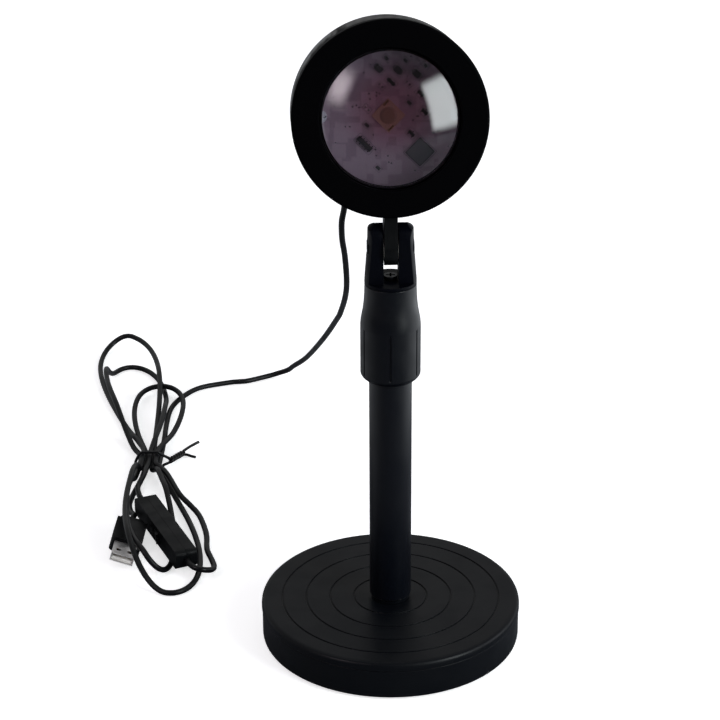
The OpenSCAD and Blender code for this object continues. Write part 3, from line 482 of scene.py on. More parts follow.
# Bright nickel over rolled steel: fine lines along the strip, clouded by handling.
shell_nickel, tree, shader = new_finish("nickel_plated_rolled", "#e4e2e2", 0.42, metallic=1.0)
where = on_piece(tree)
drawn_out = add_node(tree, "ShaderNodeMapping", {"Scale": (1, 0.08, 1)}, {"Vector": where})
rolled = noise(tree, drawn_out.outputs["Vector"], 0.35, 3.0)
tree.links.new(vary(tree, noise(tree, where, 5, 4.0), 0.36, 0.5), shader.inputs["Roughness"])
relief(tree, shader, rolled, 0.01, 0.3)
dress(shell_nickel, "plug_shell")
soften(0.18, "plug_shell", rings=2)

# White PBT of the tongue, and brass contacts with a thin flash of gold.
tongue_pbt = grained("pbt_moulded_white", "#e3e2dc", 0.4, 4, 0.5, 0.01, 0.3)
dress(tongue_pbt, "plug_insulator")
contact_gold = grained("gold_flashed_brass", "#d6b063", 0.22, 2, 0.3, 0.006, 0.3, metallic=1.0)
dress(contact_gold, "plug_contacts")

# ---------------------------------------------------------------- Base
# A round base of two black ABS mouldings over a steel weight: a shell with a soft pad under
# it, and a lid pressed into the shell, its rounded shoulder over the seam and four rings.
BASE_R, BASE_H, SEAM_H = 62.5, 20.0, 15.6
SHELL_R, SHELL_WALL, PAD_T = 62.2, 2.0, 1.2
RING_COUNT, RING_FROM, RING_STEP, RING_W, RING_DEEP = 4, 6.0, 11.6, 0.9, 0.5
BOLT_CLEAR_R, RECESS_R, RECESS_TOP = 3.3, 11.0, 6.6
LID_WEB_Z, SKIRT_FOOT, SKIRT_R, BOSS_R = 17.6, 12.6, 60.1, 7.0
AXIS_Z = Matrix.Identity(4)


def rounded(profile, steps=4):
    """A closed profile of (radius, height) corners, each with an optional rounding."""
    line = []
    for i, corner in enumerate(profile):
        here = Vector(corner[:2])
        if len(corner) == 2:
            line.append(here)
            continue
        back = (Vector(profile[i - 1][:2]) - here).normalized() * corner[2]
        on = (Vector(profile[(i + 1) % len(profile)][:2]) - here).normalized() * corner[2]
        for k in range(steps + 1):
            t = k / steps
            line.append(here + back * (1 - t) ** 2 + on * t * t)
    return line


def crisp(mesh, angle):
    """Smooth faces, with the edges sharper than the angle kept as edges."""
    work = bmesh.new()
    work.from_mesh(mesh)
    bmesh.ops.remove_doubles(work, verts=work.verts, dist=0.001 * MM)
    bmesh.ops.recalc_face_normals(work, faces=work.faces)
    for face in work.faces:
        face.smooth = True
    for edge in work.edges:
        if len(edge.link_faces) == 2 and edge.calc_face_angle(0) > math.radians(angle):
            edge.smooth = False
    work.to_mesh(mesh)
    work.free()


def add_piece(name, mesh, material, body, stands_for, angle=33):
    """Shades a piece's mesh, gives it its finish and fixes it to the part's frame."""
    mesh.name = name
    crisp(mesh, angle)
    piece = place_object(name, mesh)
    even = piece.modifiers.new("even_shading", "WEIGHTED_NORMAL")
    even.keep_sharp = True
    mesh.materials.append(material)
    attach(piece, body)
    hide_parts(stands_for)
    return piece


def turned(line, place, angles, radius_at=None):
    """Turns a closed profile about an axis, in so many even steps or at the angles given.
    A function radius_at may press grooves into it."""
    if isinstance(angles, int):
        angles = [k * 2 * math.pi / angles for k in range(angles)]
    points, faces, count = [], [], len(angles)
    for r, h in line:
        for a in angles:
            wide = radius_at(r, h, a) if radius_at else r
            points.append(place @ Vector((wide * math.cos(a), wide * math.sin(a), h)) * MM)
    for i in range(len(line)):
        j = (i + 1) % len(line)
        if line[i][0] < 1e-6 and line[j][0] < 1e-6:
            continue
        for k in range(count):
            on = (k + 1) % count
            faces.append((i * count + k, i * count + on, j * count + on, j * count + k))
    mesh = bpy.data.meshes.new("turned")
    mesh.from_pydata(points, [], faces)
    return mesh


# Black ABS from a sparked mould: an even satin with a soft, wide highlight. Grit of 0.15 mm
# is drawn at 0.6 mm so that it shows.
base_abs = grained("abs_satin_moulded_black", "#05070b", (0.35, 0.47), 16, 0.6, 0.02, 0.4,
                   level=0.12)

shell_line = rounded([
    (RECESS_R, PAD_T, 0.4), (SHELL_R, PAD_T, 1.1), (SHELL_R, SEAM_H, 0.35),
    (SHELL_R - SHELL_WALL, SEAM_H), (SHELL_R - SHELL_WALL, PAD_T + SHELL_WALL),
    (RECESS_R + SHELL_WALL, PAD_T + SHELL_WALL),
    (RECESS_R + SHELL_WALL, RECESS_TOP + SHELL_WALL), (BOLT_CLEAR_R, RECESS_TOP + SHELL_WALL),
    (BOLT_CLEAR_R, RECESS_TOP), (RECESS_R, RECESS_TOP)])
add_piece("base_lower_shell", turned(shell_line, AXIS_Z, 192),
          base_abs, "base", "base_shell")

lid_line = [
    (BOLT_CLEAR_R, RECESS_TOP + SHELL_WALL), (BOSS_R, RECESS_TOP + SHELL_WALL),
    (BOSS_R, LID_WEB_Z), (SKIRT_R - SHELL_WALL, LID_WEB_Z), (SKIRT_R - SHELL_WALL, SKIRT_FOOT),
    (SKIRT_R, SKIRT_FOOT), (SKIRT_R, SEAM_H + 0.25), (BASE_R, SEAM_H + 0.25, 0.3),
    (BASE_R, BASE_H, 2.6)]
for i in range(RING_COUNT, 0, -1):
    centre = RING_FROM + i * RING_STEP
    for side, high, round_off in ((1, BASE_H, 0.16), (1, BASE_H - RING_DEEP, 0.2),
                                  (-1, BASE_H - RING_DEEP, 0.2), (-1, BASE_H, 0.16)):
        lid_line.append((centre + side * RING_W / 2, high, round_off))
lid_line.append((BOLT_CLEAR_R, BASE_H))
add_piece("base_top_lid", turned(rounded(lid_line, 5), AXIS_Z, 256),
          base_abs, "base", "base_lid")

# The weight is a disc cut from hot-rolled plate: dark mill scale with brighter scuffs.
plate_steel = grained("hot_rolled_steel_plate", "#4c4d50", (0.4, 0.7), 12, 1.2, 0.05, 0.5,
                      metallic=1.0)
dress(plate_steel, "base_weight")

# EVA foam pad: closed cells about 0.7 mm wide, with no shine at all.
pad_foam, tree, shader = new_finish("eva_foam_black", "#141415", 0.92, level=0.15)
cells = add_node(tree, "ShaderNodeTexVoronoi", {"Scale": per_metre(0.7)},
                 {"Vector": on_piece(tree)})
relief(tree, shader, cells.outputs["Distance"], 0.12, 0.6)
dress(pad_foam, "foot_pad")

# Zinc-plated steel hardware: bluish bright plating with a fine grain.
zinc = grained("zinc_plated_steel", "#b4b8bd", (0.26, 0.46), 3, 0.25, 0.01, 0.4, metallic=1.0)
dress(zinc, "base_washer", "base_bolt", "board_screws")
soften(0.2, "base_bolt")

# ---------------------------------------------------------------- Stand tubes
# Two thin steel tubes, one sliding in the other. The outer one stands on a moulded plug that
# leaves a short narrower neck over the lid. Both are powder coated black.

# Powder coat: a smooth satin skin with orange peel about 1.5 mm across, baked on the steel.
powder_coat = grained("powder_coated_steel_black", "#06080e", (0.29, 0.41), 22, 1.5, 0.012,
                      0.55, level=0.22)
dress(powder_coat, "outer_tube", "inner_tube")
dress(base_abs, "foot_plug", "tube_plug")
soften(0.3, "outer_tube", "inner_tube", "foot_plug")

# Natural acetal bush: milky white and slippery, with a waxy sheen.
acetal = grained("acetal_moulded_natural", "#d9d9d3", 0.38, 5, 0.6, 0.01, 0.3)
shader = acetal.node_tree.nodes["Principled BSDF"]
shader.inputs["Subsurface Weight"].default_value = 0.15
shader.inputs["Subsurface Radius"].default_value = (0.002, 0.002, 0.0015)
dress(acetal, "guide_bush")

# ---------------------------------------------------------------- Lock collar
# A twist lock of glass-filled nylon: a grooved collar that screws down a sleeve on the outer
# tube and squeezes a split collet on the inner tube. A thin lip of the sleeve shows below.
TUBE_R, COLLAR_Z, COLLAR_TOP, COLLAR_R, COLLAR_TOP_R = 10.0, 139.0, 185.5, 14.0, 12.0
SLEEVE_R, SLEEVE_TOP, LIP_R, GAP, CLEAR = 11.0, 158.0, 12.6, 0.3, 0.05
COLLET_R, SPIGOT_R, SPIGOT_H, INNER_R = 9.4, 8.7, 3.0, 8.0
GRIP_COUNT, GRIP_W, GRIP_DEEP, GRIP_FROM, GRIP_TO = 6, 1.0, 0.6, 141.4, 164.4

# Glass-filled nylon comes off the mould satin, with a faint cloudiness from the fibres.
nylon = grained("glass_filled_nylon_black", "#04060b", (0.31, 0.43), 8, 0.9, 0.015, 0.5,
                level=0.2)


def grip_radius(r, h, a):
    """Presses the upright grip grooves into the collar, with rounded floors and ends."""
    if r < COLLAR_R - 1.4 or h < GRIP_FROM - 0.6 or h > GRIP_TO + 0.6:
        return r
    turn = 2 * math.pi / GRIP_COUNT
    off = abs((a + math.pi / 2 + turn / 2) % turn - turn / 2) * COLLAR_R
    across = max(0.0, 1 - (off / (GRIP_W / 2)) ** 4) if off < GRIP_W / 2 else 0.0
    fade = ease((h - GRIP_FROM + 0.5) / 1.0) * ease((GRIP_TO + 0.5 - h) / 1.0)
    return r - GRIP_DEEP * across * fade


collar_angles = []
for i in range(GRIP_COUNT):
    centre = -math.pi / 2 + i * 2 * math.pi / GRIP_COUNT
    edges = [k * GRIP_W / 2 / COLLAR_R for k in (-1.2, -1, -0.85, -0.6, 0, 0.6, 0.85, 1, 1.2)]
    collar_angles += [centre + e for e in edges]
    span = 2 * math.pi / GRIP_COUNT - edges[-1] * 2
    collar_angles += [centre + edges[-1] + span * k / 22 for k in range(1, 22)]
cone_top, bore_top = COLLET_R + GAP, COLLAR_TOP - SPIGOT_H - GAP
side_heights = [GRIP_FROM - 0.5 + k * 0.25 for k in range(5)] + [
    146, 151, 156, 160] + [GRIP_TO - 0.5 + k * 0.25 for k in range(5)]
collar_line = rounded(
    [(SLEEVE_R + GAP, COLLAR_Z), (COLLAR_R - 0.9, COLLAR_Z, 0.4),
     (COLLAR_R, COLLAR_Z + 1.4, 0.4)]
    + [(COLLAR_R, z) for z in side_heights]
    + [(COLLAR_R - 0.04, 165.5), (COLLAR_R - 0.22, 167.4), (COLLAR_R - 0.6, 169.6),
       (COLLAR_R - 1.02, 171.8), (COLLAR_R - 1.38, 174), (COLLAR_R - 1.66, 176.6),
       (COLLAR_TOP_R + 0.14, 179.6), (COLLAR_TOP_R + 0.05, 182.5),
       (COLLAR_TOP_R, COLLAR_TOP, 0.45), (SPIGOT_R + GAP, COLLAR_TOP),
       (SPIGOT_R + GAP, bore_top), (INNER_R + GAP, bore_top), (INNER_R + GAP, bore_top - 3),
       (cone_top, bore_top - 5), (cone_top, SLEEVE_TOP + 3.5),
       (SLEEVE_R + GAP, SLEEVE_TOP + 0.5)])
add_piece("lock_collar_grip", turned(collar_line, AXIS_Z, collar_angles, grip_radius),
          nylon, "collar", "lock_collar", angle=40)

lip_line = rounded([
    (TUBE_R + CLEAR, COLLAR_Z - 1), (LIP_R - 0.6, COLLAR_Z - 1, 0.35),
    (LIP_R, COLLAR_Z - GAP, 0.3), (SLEEVE_R, COLLAR_Z - GAP),
    (SLEEVE_R, SLEEVE_TOP), (TUBE_R + CLEAR, SLEEVE_TOP)])
add_piece("lock_sleeve_lip", turned(lip_line, AXIS_Z, 128),
          nylon, "base", "thread_sleeve")

# Grey acetal of the split collet, with the same waxy grain as the bush.
grey_acetal = grained("acetal_moulded_grey", "#3c3e42", 0.4, 5, 0.6, 0.01, 0.3)
dress(grey_acetal, "lock_collet")

# ---------------------------------------------------------------- Fork
# The clevis of glass-filled nylon on the collar, flat in front and behind, with the tongue
# clamped in its slot by a black-oxide cross screw and its nut between two fibre washers.
matt_nylon = grained("glass_filled_nylon_matt", "#030409", (0.38, 0.5), 8, 0.9, 0.015, 0.5,
                     level=0.05)
dress(matt_nylon, "fork")
soften(0.4, "fork")

# Black oxide on steel: dark, slightly blue, with metal glinting through on the edges.
oxide_steel = grained("black_oxide_steel", "#26272b", (0.3, 0.5), 2.5, 0.3, 0.01, 0.4,
                      by_grit=True, metallic=1.0)
dress(oxide_steel, "pivot_screw", "pivot_nut", "swivel_screw", "cover_screws")
soften(0.25, "pivot_screw", "pivot_nut")
soften(0.2, "swivel_screw")

# Vulcanised fibre: warm grey, dull, with faint rolled fibres.
fibre = grained("vulcanised_fibre_grey", "#c9c6bd", 0.7, 6, 0.5, 0.03, 0.5, level=0.3)
dress(fibre, "friction_washers")

# ---------------------------------------------------------------- Lamp head
# A straight barrel with the tongue moulded on it, a broad matt ring screwed into its front
# and a vented cover behind. All are black ABS, painted outside.
HEAD_R, FRONT_Y, RING_BACK, RING_FOOT = 44.25, -15.0, -6.0, 2.0
BARREL_WALL, MOUTH_R, LENS_FLAT, LENS_EDGE = 2.4, 31.75, -2.0, 2.0
LENS_R, RING_BORE_R = 30.85, 35.15
head_frame = (Matrix.Rotation(HEAD_TURN, 4, "Z") @ Matrix.Translation((0, 0, PIN_Z))
              @ Matrix.Rotation(-HEAD_TILT, 4, "X") @ Matrix.Translation((0, 0, HEAD_RISE)))
head_axis = head_frame @ Matrix.Rotation(-math.pi / 2, 4, "X")

# Satin paint on the barrel and the cover: a soft highlight with a little orange peel.
head_paint = grained("satin_paint_on_abs_black", "#040506", (0.33, 0.45), 14, 1.1, 0.012, 0.5,
                     level=0.15)
dress(head_paint, "barrel", "rear_cover")
soften(0.35, "barrel")
soften(0.3, "rear_cover")

# Soft-touch paint on the front ring: it swallows light, so the face is nearly dead black,
# and only the skin's fine nap shows where the light grazes it.
soft_touch = grained("soft_touch_paint_black", "#010102", (0.56, 0.7), 18, 0.7, 0.015, 0.5,
                     level=0.02)
spigot_out, seat_out = HEAD_R - BARREL_WALL - 0.15, LENS_R + 0.25
lens_front = LENS_FLAT - LENS_EDGE
ring_line = rounded([
    (MOUTH_R, FRONT_Y, 0.45), (HEAD_R, FRONT_Y, 1.5), (HEAD_R, RING_BACK - 0.05, 0.25),
    (spigot_out, RING_BACK - 0.05), (spigot_out, RING_FOOT), (RING_BORE_R, RING_FOOT),
    (RING_BORE_R, LENS_FLAT), (seat_out, LENS_FLAT), (seat_out, lens_front),
    (LENS_R - 0.3, lens_front - 0.1), (LENS_R - 0.3, lens_front - 1.2, 0.3),
    (MOUTH_R - 0.6, lens_front - 1.6), (MOUTH_R - 0.6, FRONT_Y + 3, 0.2),
    (MOUTH_R, FRONT_Y + 2.2, 0.2)], 6)
add_piece("head_front_ring", turned(ring_line, head_axis, 256),
          soft_touch, "head", "front_ring")
dress(soft_touch, "lens_retainer")

# Silicone gasket: rubbery dull black.
silicone = grained("silicone_moulded_black", "#1b1b1e", 0.7, 4, 0.6, 0.02, 0.4, level=0.25)
dress(silicone, "lens_gasket")

# Die-cast aluminium heat sink: frosty grey with a cast grain.
cast_alloy = grained("aluminium_die_cast", "#a7a9ac", (0.4, 0.6), 6, 0.5, 0.03, 0.5,
                     metallic=1.0)
dress(cast_alloy, "heat_sink")

# ---------------------------------------------------------------- Cable gland
# A soft PVC strain relief pressed through the cover. It tapers onto the cord and is cut by
# rings that let it bend.
GLAND_R, GLAND_RINGS = 3.4, 4
gland_line = [(0, COVER_BACK - 4), (GLAND_R + 1, COVER_BACK - 4, 0.3),
              (GLAND_R + 1, COVER_BACK - 2.4), (GLAND_R - CLEAR, COVER_BACK - 2.4),
              (GLAND_R - CLEAR, COVER_BACK), (GLAND_R + 1.2, COVER_BACK, 0.3),
              (GLAND_R + 1.2, COVER_BACK + 1.6, 0.4), (GLAND_R + 0.5, COVER_BACK + 2.2)]
for i in range(GLAND_RINGS):
    high, wide = COVER_BACK + 2.7 + i * 1.5, GLAND_R + 0.35 - i * 0.24
    gland_line += [(wide, high, 0.12), (wide - 0.55, high + 0.12, 0.1),
                   (wide - 0.6, high + 0.55, 0.1), (wide - 0.12, high + 0.7, 0.12)]
gland_line += [(CORD_R + 1.2, GLAND_TIP, 0.35), (CORD_R + CLEAR, GLAND_TIP),
               (CORD_R + CLEAR, COVER_BACK + 1), (0, COVER_BACK + 1)]
gland_axis = (head_frame @ Matrix.Translation((GLAND_AT[0], 0, GLAND_AT[1]))
              @ Matrix.Rotation(-math.pi / 2, 4, "X"))
add_piece("cord_strain_relief", turned(rounded(gland_line, 3), gland_axis, 48),
          grip_pvc, "head", "cable_gland")

# ---------------------------------------------------------------- Lamp board
# The driver board behind the lens: white-masked aluminium with the square LED in the middle,
# turned 45 degrees, and its small soldered parts along the same diagonals. Each kind of part
# has its length, width and height, and its places to the right of the middle and above it.
BOARD_R, BOARD_Y, BOARD_T, LED_W = 34.0, 7.0, 1.6, 9.0
BOARD_PARTS = (
    ("diode", (4, 2.6, 1.4), ((-3.4, 17.7), (3.8, 16.9), (10.9, 15.4))),
    ("chip", (2, 1.2, 0.7), ((-0.4, 21.5), (6.8, 20.5), (14.4, 18.5), (7.8, 4.5), (-8, -3.5),
                             (-4.1, -19.7))),
    ("pads", (2.4, 1.2, 0.7), ((-2.6, 11), (7.5, 11.7), (-7.8, 2.6))),
    ("driver", (4, 1.8, 1), ((1.2, 12.4),)), ("driver", (7, 3, 1.6), ((-9, -10.5),)),
    ("transistor", (3, 2.4, 1.2), ((12.2, 8), (13.5, 1.1))),
    ("transistor", (3, 2.2, 1.2), ((8.5, -6.8),)), ("inductor", (8, 8, 1), ((11.7, -13.9),)))
board_frame = head_frame @ Matrix.Rotation(math.radians(45), 4, "Y")


def add_block(work, at, size, bevel, finish=0, draft=0.0):
    """A moulded block on the board, drawn in towards its top, with its edges rounded."""
    made = bmesh.ops.create_cube(work, size=1.0)["verts"]
    for vert in made:
        x, y, z = vert.co
        slim = 1 - draft * (0.5 - y)
        vert.co = Vector((x * size[0] * slim, y * size[1], z * size[2] * slim)) + Vector(at)
    edges = list({edge for vert in made for edge in vert.link_edges})
    faces = list({face for vert in made for face in vert.link_faces})
    for face in faces:
        face.material_index = finish
    if bevel:
        bmesh.ops.bevel(work, geom=edges, offset=bevel, segments=2, profile=0.5,
                        affect="EDGES", clamp_overlap=True)


def mesh_of(work, place):
    bmesh.ops.transform(work, matrix=Matrix.Scale(MM, 4) @ place, verts=work.verts)
    mesh = bpy.data.meshes.new("blocks")
    work.to_mesh(mesh)
    work.free()
    return mesh


def ramp(tree, amount, *stops):
    """Colours by a grey value, each stop a value and an sRGB colour."""
    node = add_node(tree, "ShaderNodeValToRGB", (), {"Fac": amount})
    for element, (place, colour) in zip(node.color_ramp.elements, stops):
        element.position = place
        element.color = tone(colour)
    return node.outputs["Color"]


# White solder mask, drawn mauve grey as painted shade for the head's shadow: a thin satin lacquer
# over etched copper, whose fields show as faint raised patches a few millimetres wide.
solder_mask, tree, shader = new_finish("solder_mask_white", "#8f818b", 0.36)
tracks = add_node(tree, "ShaderNodeTexVoronoi",
                  {"distance": "CHEBYCHEV", "feature": "F1", "Scale": per_metre(6)},
                  {"Vector": on_piece(tree)})
shade = ramp(tree, tracks.outputs["Distance"], (0.42, "#93868f"), (0.48, "#83767f"))
tree.links.new(shade, shader.inputs["Base Color"])
relief(tree, shader, shade, 0.05, 0.6)

board_line = rounded([(0, BOARD_Y), (BOARD_R, BOARD_Y, 0.12),
                      (BOARD_R, BOARD_Y + BOARD_T, 0.12), (0, BOARD_Y + BOARD_T)], 2)
add_piece("lamp_board", turned(board_line, head_axis, 128),
          solder_mask, "head", "led_board")

# Epoxy moulding compound of the chips: charcoal, fine-grained and dull.
epoxy_black = grained("epoxy_moulding_compound", "#0c0c0f", 0.42, 1.5, 0.25, 0.01, 0.4,
                      level=0.3)
# Tinned leads and solder: bright, soft-edged metal.
tinned = grained("tinned_copper_reflowed", "#c3c4c6", 0.25, 1.2, 0.3, 0.02, 0.5, metallic=1.0)
# Sintered ferrite of the inductor: dark grey, slightly glittering.
ferrite = grained("ferrite_sintered", "#303236", 0.5, 1.5, 0.3, 0.03, 0.5)
# Silkscreen ink: thin dark frames round the parts.
ink = grained("silkscreen_ink_grey", "#3a3a40", 0.6, 2, 0.3, 0.01, 0.3)

# A part's body: its share of the length and width, how far it stands off the board, its
# rounding, its draft and its finish. Its ends: their place and length as shares of the
# length, their height, their share of the width and their rounding.
EPOXY, TIN, FERRITE, INK = 0, 1, 2, 3
BODIES = {"chip": (0.62, 1, 0, 0.06, 0, EPOXY), "diode": (0.78, 1, 0.1, 0.15, 0.12, EPOXY),
          "transistor": (1, 0.56, 0.1, 0.12, 0.12, EPOXY),
          "driver": (1, 0.66, 0.1, 0.15, 0.1, EPOXY), "inductor": (1, 1, 0, 0.3, 0, FERRITE)}
ENDS = {"pads": (0.32, 0.28, 0.12, 0.8, 0.03), "chip": (0.4, 0.2, 0.644, 1.02, 0.08),
        "diode": (0.44, 0.14, 0.7, 0.6, 0.08)}
PIN_STEP, PIN_W = 1.27, 0.4
VIAS, VIA_W, VIA_ROOM = 46, 0.55, 0.9
parts = bmesh.new()
taken = []
for kind, (long, wide, high), (right, up) in [
        (kind, size, at) for kind, size, places in BOARD_PARTS for at in places]:
    x, z = (right - up) / math.sqrt(2), (right + up) / math.sqrt(2)
    taken.append((x, z, long, wide))
    if kind in BODIES:
        share_l, share_w, stand, bevel, draft, finish = BODIES[kind]
        add_block(parts, (x, BOARD_Y - (high + stand) / 2, z),
                  (long * share_l, high - stand, wide * share_w), bevel, finish, draft)
    if kind in ENDS:
        place, share_l, tall, share_w, bevel = ENDS[kind]
        for side in (-1, 1):
            add_block(parts, (x + side * long * place, BOARD_Y - tall / 2, z),
                      (long * share_l, tall, wide * share_w), bevel, TIN)
    if kind == "transistor":
        for spot, side in ((-0.32, -1), (0.32, -1), (0, 1)):
            add_block(parts, (x + spot * long, BOARD_Y - PIN_W / 2, z + side * wide * 0.4),
                      (0.42, PIN_W, wide * 0.24), 0.06, TIN)
    if kind == "driver":
        add_block(parts, (x - long * 0.4, BOARD_Y - high - 0.01, z), (0.35, 0.04, 0.35),
                  0.01, INK)
        pins = max(2, round(long / PIN_STEP) - 1)
        for k in range(pins):
            for side in (-1, 1):
                add_block(parts, (x + (k - (pins - 1) / 2) * long / pins, BOARD_Y - 0.25,
                                  z + side * wide * 0.42),
                          (PIN_W, 0.5, wide * 0.18), 0.06, TIN)
    for across, along_it, size in (
            (-1, 0, (long + 1.0, 0.12)), (1, 0, (long + 1.0, 0.12)),
            (0, -1, (0.12, wide + 0.9)), (0, 1, (0.12, wide + 0.9))):
        add_block(parts, (x + along_it * (long / 2 + 0.5), BOARD_Y - 0.02,
                          z + across * (wide / 2 + 0.45)), (size[0], 0.05, size[1]), 0, INK)
draw = random.Random(7)
for _ in range(VIAS):
    reach, a = draw.uniform(8, 26), draw.uniform(0, 2 * math.pi)
    spot_x, spot_z = reach * math.cos(a), reach * math.sin(a)
    if all(abs(spot_x - x) > long / 2 + VIA_ROOM or abs(spot_z - z) > wide / 2 + VIA_ROOM
           for x, z, long, wide in taken):
        add_block(parts, (spot_x, BOARD_Y - 0.05, spot_z), (VIA_W, 0.1, VIA_W), 0.12, TIN)
components = add_piece("board_components", mesh_of(parts, board_frame), epoxy_black,
                       "head", "board_parts", angle=50)
for finish in (tinned, ferrite, ink):
    components.data.materials.append(finish)

# The LED: an alumina carrier with a round well of silicone that is full of yellow phosphor, on
# gold pads. The white carrier and the yellow phosphor are drawn in dull browns as painted shade
# for the head's shadow.
alumina = grained("alumina_ceramic_fired", "#8d7c68", 0.5, 2, 0.2, 0.01, 0.3)
phosphor = grained("phosphor_in_silicone", "#75634e", 0.3, 1.5, 0.2, 0.02, 0.4)
led_work = bmesh.new()
add_block(led_work, (0, BOARD_Y - 0.4, 0), (LED_W, 0.8, LED_W), 0.15, 0)
for side in (-1, 1):
    add_block(led_work, (side * LED_W * 0.43, BOARD_Y - 0.83, -side * LED_W * 0.3),
              (LED_W * 0.08, 0.08, LED_W * 0.3), 0.03, 1)
led = add_piece("led_carrier", mesh_of(led_work, board_frame), alumina,
                "head", "led", angle=50)
led.data.materials.append(contact_gold)
well_line = rounded([(0, BOARD_Y - 1.35), (LED_W * 0.3, BOARD_Y - 1.3, 0.5),
                     (LED_W * 0.36, BOARD_Y - 0.8, 0.1), (0, BOARD_Y - 0.8)], 4)
add_piece("led_phosphor", turned(well_line, head_axis, 64),
          phosphor, "head", "led")

# ---------------------------------------------------------------- Lens
# A plano-convex lens pressed from optical glass and polished, with a ground edge in the
# ring's seat and its dome standing proud of the ring. A mauve coat tints its middle.
DOME_R, DOME_FOOT, DOME_SAG, DOME_STEPS = LENS_R - 0.5, -13.5, 8.0, 40
COAT_MIDDLE, COAT_REACH = Vector((2, FRONT_Y, 5)), 30


def mixed(tree, amount, first, second):
    """The first shader where the amount is nought, and the second where it is one."""
    return add_node(tree, "ShaderNodeMixShader", (),
                    {0: amount, 1: first, 2: second}).outputs["Shader"]


lens_glass, tree, shader = new_finish("optical_glass_polished", "#b999a6", 0.0, ior=1.52)
shader.inputs["Transmission Weight"].default_value = 1.0
paths = add_node(tree, "ShaderNodeLightPath")
clear = add_node(tree, "ShaderNodeBsdfTransparent", {"Color": tone("#b3a8ae")})
off_axis = add_node(tree, "ShaderNodeVectorMath",
                    {"operation": "DISTANCE", 1: tuple(head_frame @ COAT_MIDDLE * MM)},
                    {0: on_piece(tree)})
from_middle = add_node(tree, "ShaderNodeMath", {"operation": "MULTIPLY", 1: per_metre(COAT_REACH)},
                       {0: off_axis.outputs["Value"]})
coat = ramp(tree, from_middle.outputs["Value"], (0.4, "#b994a1"), (0.8, "#d0cfd6"))
tree.links.new(coat, shader.inputs["Base Color"])
tree.links.new(mixed(tree, paths.outputs["Is Shadow Ray"], shader.outputs["BSDF"],
                     clear.outputs["BSDF"]),
               tree.nodes["Material Output"].inputs["Surface"])
ball_r = (DOME_R ** 2 + DOME_SAG ** 2) / (2 * DOME_SAG)
lens_line = [(0, LENS_FLAT), (LENS_R, LENS_FLAT), (LENS_R, lens_front),
             (DOME_R, lens_front), (DOME_R, DOME_FOOT + 0.15)]
for i in range(DOME_STEPS + 1):
    a = math.asin((DOME_R - 0.1) / ball_r) * (1 - i / DOME_STEPS)
    lens_line.append((ball_r * math.sin(a), DOME_FOOT - DOME_SAG + ball_r * (1 - math.cos(a))))
add_piece("lens_dome", turned(lens_line, head_axis, 192),
          lens_glass, "head", "lens", angle=30)

# ---------------------------------------------------------------- Studio
# A plain white table and backdrop. A tall window-like soft light stands at the right, with a
# weaker wide one further back, one at the left and a faint one above. The camera sees the table
# and the backdrop white, while shiny surfaces see a greyer room: the table shows them painted
# shade in front and painted pools of light at its sides, brightest on the right.
TABLE_HALF, TABLE_GAP, LIT_POINT = 6.0, 0.0004, Vector((0, 0, 0.2))
world = bpy.data.worlds.new("pale_studio")
bpy.context.scene.world = world
world.use_nodes = True
tree = world.node_tree
ground = tree.nodes["Background"]
ground.inputs["Color"].default_value = (0.9, 0.93, 1.0, 1)
ground.inputs["Strength"].default_value = 0.25
paths = add_node(tree, "ShaderNodeLightPath")
where = add_node(tree, "ShaderNodeTexCoord")
facing = add_node(tree, "ShaderNodeVectorMath",
                  {"operation": "DOT_PRODUCT", 1: (0.08, -0.98, 0.16)},
                  {0: where.outputs["Generated"]})
behind = vary(tree, facing.outputs["Value"], 0.5, 0.08, -0.3, 0.6)
white = add_node(tree, "ShaderNodeBackground", {"Color": (1, 1, 1, 1), "Strength": 1.0})
backdrop = add_node(tree, "ShaderNodeBackground", {"Color": (1, 1, 1, 1)},
                    {"Strength": behind})
seen = combine(tree, "MAXIMUM", paths.outputs["Is Glossy Ray"],
               paths.outputs["Is Transmission Ray"])
mirrored = mixed(tree, seen, ground.outputs["Background"], backdrop.outputs["Background"])
direct = mixed(tree, paths.outputs["Is Camera Ray"], mirrored, white.outputs["Background"])
tree.links.new(direct, tree.nodes["World Output"].inputs["Surface"])

table_white, tree, shader = new_finish("matt_laminate_white", "#f2f2f2", 0.7, level=0.2)
paths = add_node(tree, "ShaderNodeLightPath")
where = on_piece(tree)
away = add_node(tree, "ShaderNodeVectorMath", {"operation": "LENGTH"}, {0: where})
lift = add_node(tree, "ShaderNodeEmission", (), {
    "Strength": vary(tree, away.outputs["Value"], 0.62, 1.0, 0.5, 2.5)})
seen_white = add_node(tree, "ShaderNodeAddShader", (), {
    0: shader.outputs["BSDF"], 1: lift.outputs["Emission"]})
# Painted light: for glossy rays the table is a grey diffuse as painted shade, and it glows at its
# sides and behind, most on the right, as a painted pool of window light.
parts_of = add_node(tree, "ShaderNodeSeparateXYZ", (), {"Vector": where})
sides = combine(tree, "ADD", vary(tree, parts_of.outputs["X"], 0.0, 2.0, 0.18, 0.36),
                vary(tree, parts_of.outputs["X"], 0.0, 0.5, -0.12, -0.3))
beside = combine(tree, "MULTIPLY", sides,
                 vary(tree, parts_of.outputs["Y"], 0.0, 1.0, -0.28, -0.06))
glow = add_node(tree, "ShaderNodeEmission", {"Color": (0.93, 0.97, 1.0, 1)},
                {"Strength": beside})
shade = add_node(tree, "ShaderNodeBsdfDiffuse", {"Color": (0.22, 0.23, 0.25, 1)})
mirrored = add_node(tree, "ShaderNodeAddShader", (), {
    0: shade.outputs["BSDF"], 1: glow.outputs["Emission"]})
indirect = mixed(tree, paths.outputs["Is Glossy Ray"], shader.outputs["BSDF"],
                 mirrored.outputs["Shader"])
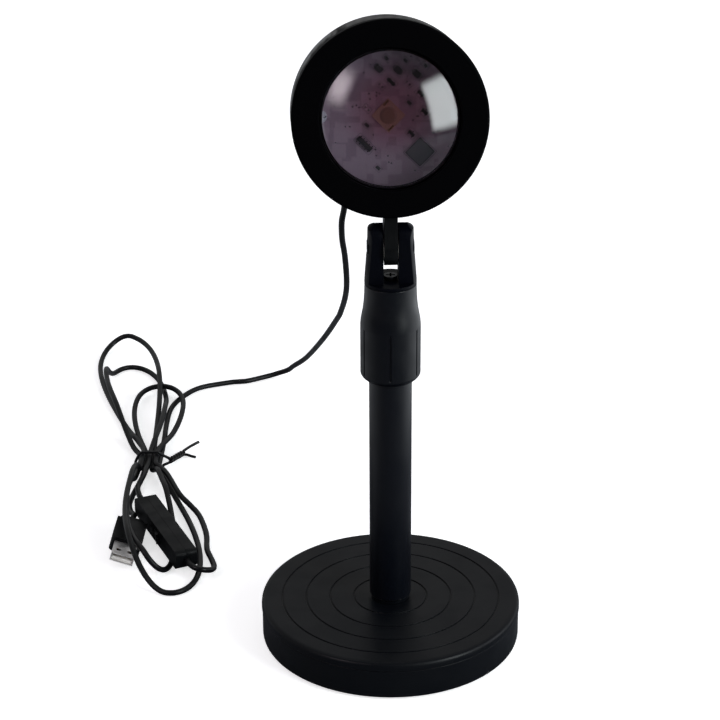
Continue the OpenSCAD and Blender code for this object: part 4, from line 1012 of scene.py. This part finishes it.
table_top = mixed(tree, paths.outputs["Is Camera Ray"], indirect, seen_white.outputs["Shader"])
tree.links.new(table_top, tree.nodes["Material Output"].inputs["Surface"])
floor_work = bmesh.new()
bmesh.ops.create_grid(floor_work, x_segments=1, y_segments=1, size=TABLE_HALF)
floor_mesh = bpy.data.meshes.new("studio_table")
floor_work.to_mesh(floor_mesh)
floor_work.free()
floor_mesh.materials.append(table_white)
studio_table = place_object("studio_table", floor_mesh)
studio_table.location.z = -TABLE_GAP


def soft_light(name, at, wide, high, level, colour, fade=0.25):
    """A flat light that faces the stand, with edges that fade over a share of its size. Level
    is its brightness, where 1 is white."""
    data = bpy.data.lights.new(name, "AREA")
    data.shape = "RECTANGLE"
    data.size, data.size_y = wide, high
    data.energy = level * math.pi * wide * high
    data.color = tone(colour)[:3]
    light = place_object(name, data)
    light.location = at
    light.rotation_euler = (LIT_POINT - Vector(at)).to_track_quat("-Z", "Y").to_euler()
    light.visible_camera = False
    data.use_nodes = True
    tree = data.node_tree
    place = add_node(tree, "ShaderNodeNewGeometry")
    spots = add_node(tree, "ShaderNodeSeparateXYZ", (),
                     {"Vector": place.outputs["Parametric"]})
    fall = []
    for axis in "XY":
        off = add_node(tree, "ShaderNodeMath", {"operation": "PINGPONG", 1: 0.5},
                       {0: spots.outputs[axis]})
        edge = add_node(tree, "ShaderNodeMapRange",
                        {"interpolation_type": "SMOOTHSTEP", "From Max": fade},
                        {"Value": off.outputs["Value"]})
        fall.append(edge.outputs["Result"])
    tree.links.new(combine(tree, "MULTIPLY", *fall), tree.nodes["Emission"].inputs["Strength"])


soft_light("window_light", (1.3, -0.95, 0.72), 0.95, 1.45, 11.0, "#f1f8f9", 0.2)
soft_light("right_glow", (1.3, 0.2, 0.45), 1.1, 1.1, 3.2, "#f4f8ff", 0.4)
soft_light("left_light", (-1.05, -1.0, 1.15), 0.8, 1.3, 8.0, "#fbeef4", 0.45)
soft_light("top_light", (0.0, 0.5, 1.5), 1.4, 0.8, 1.0, "#ffffff")

bpy.context.scene.view_settings.view_transform = "Standard"
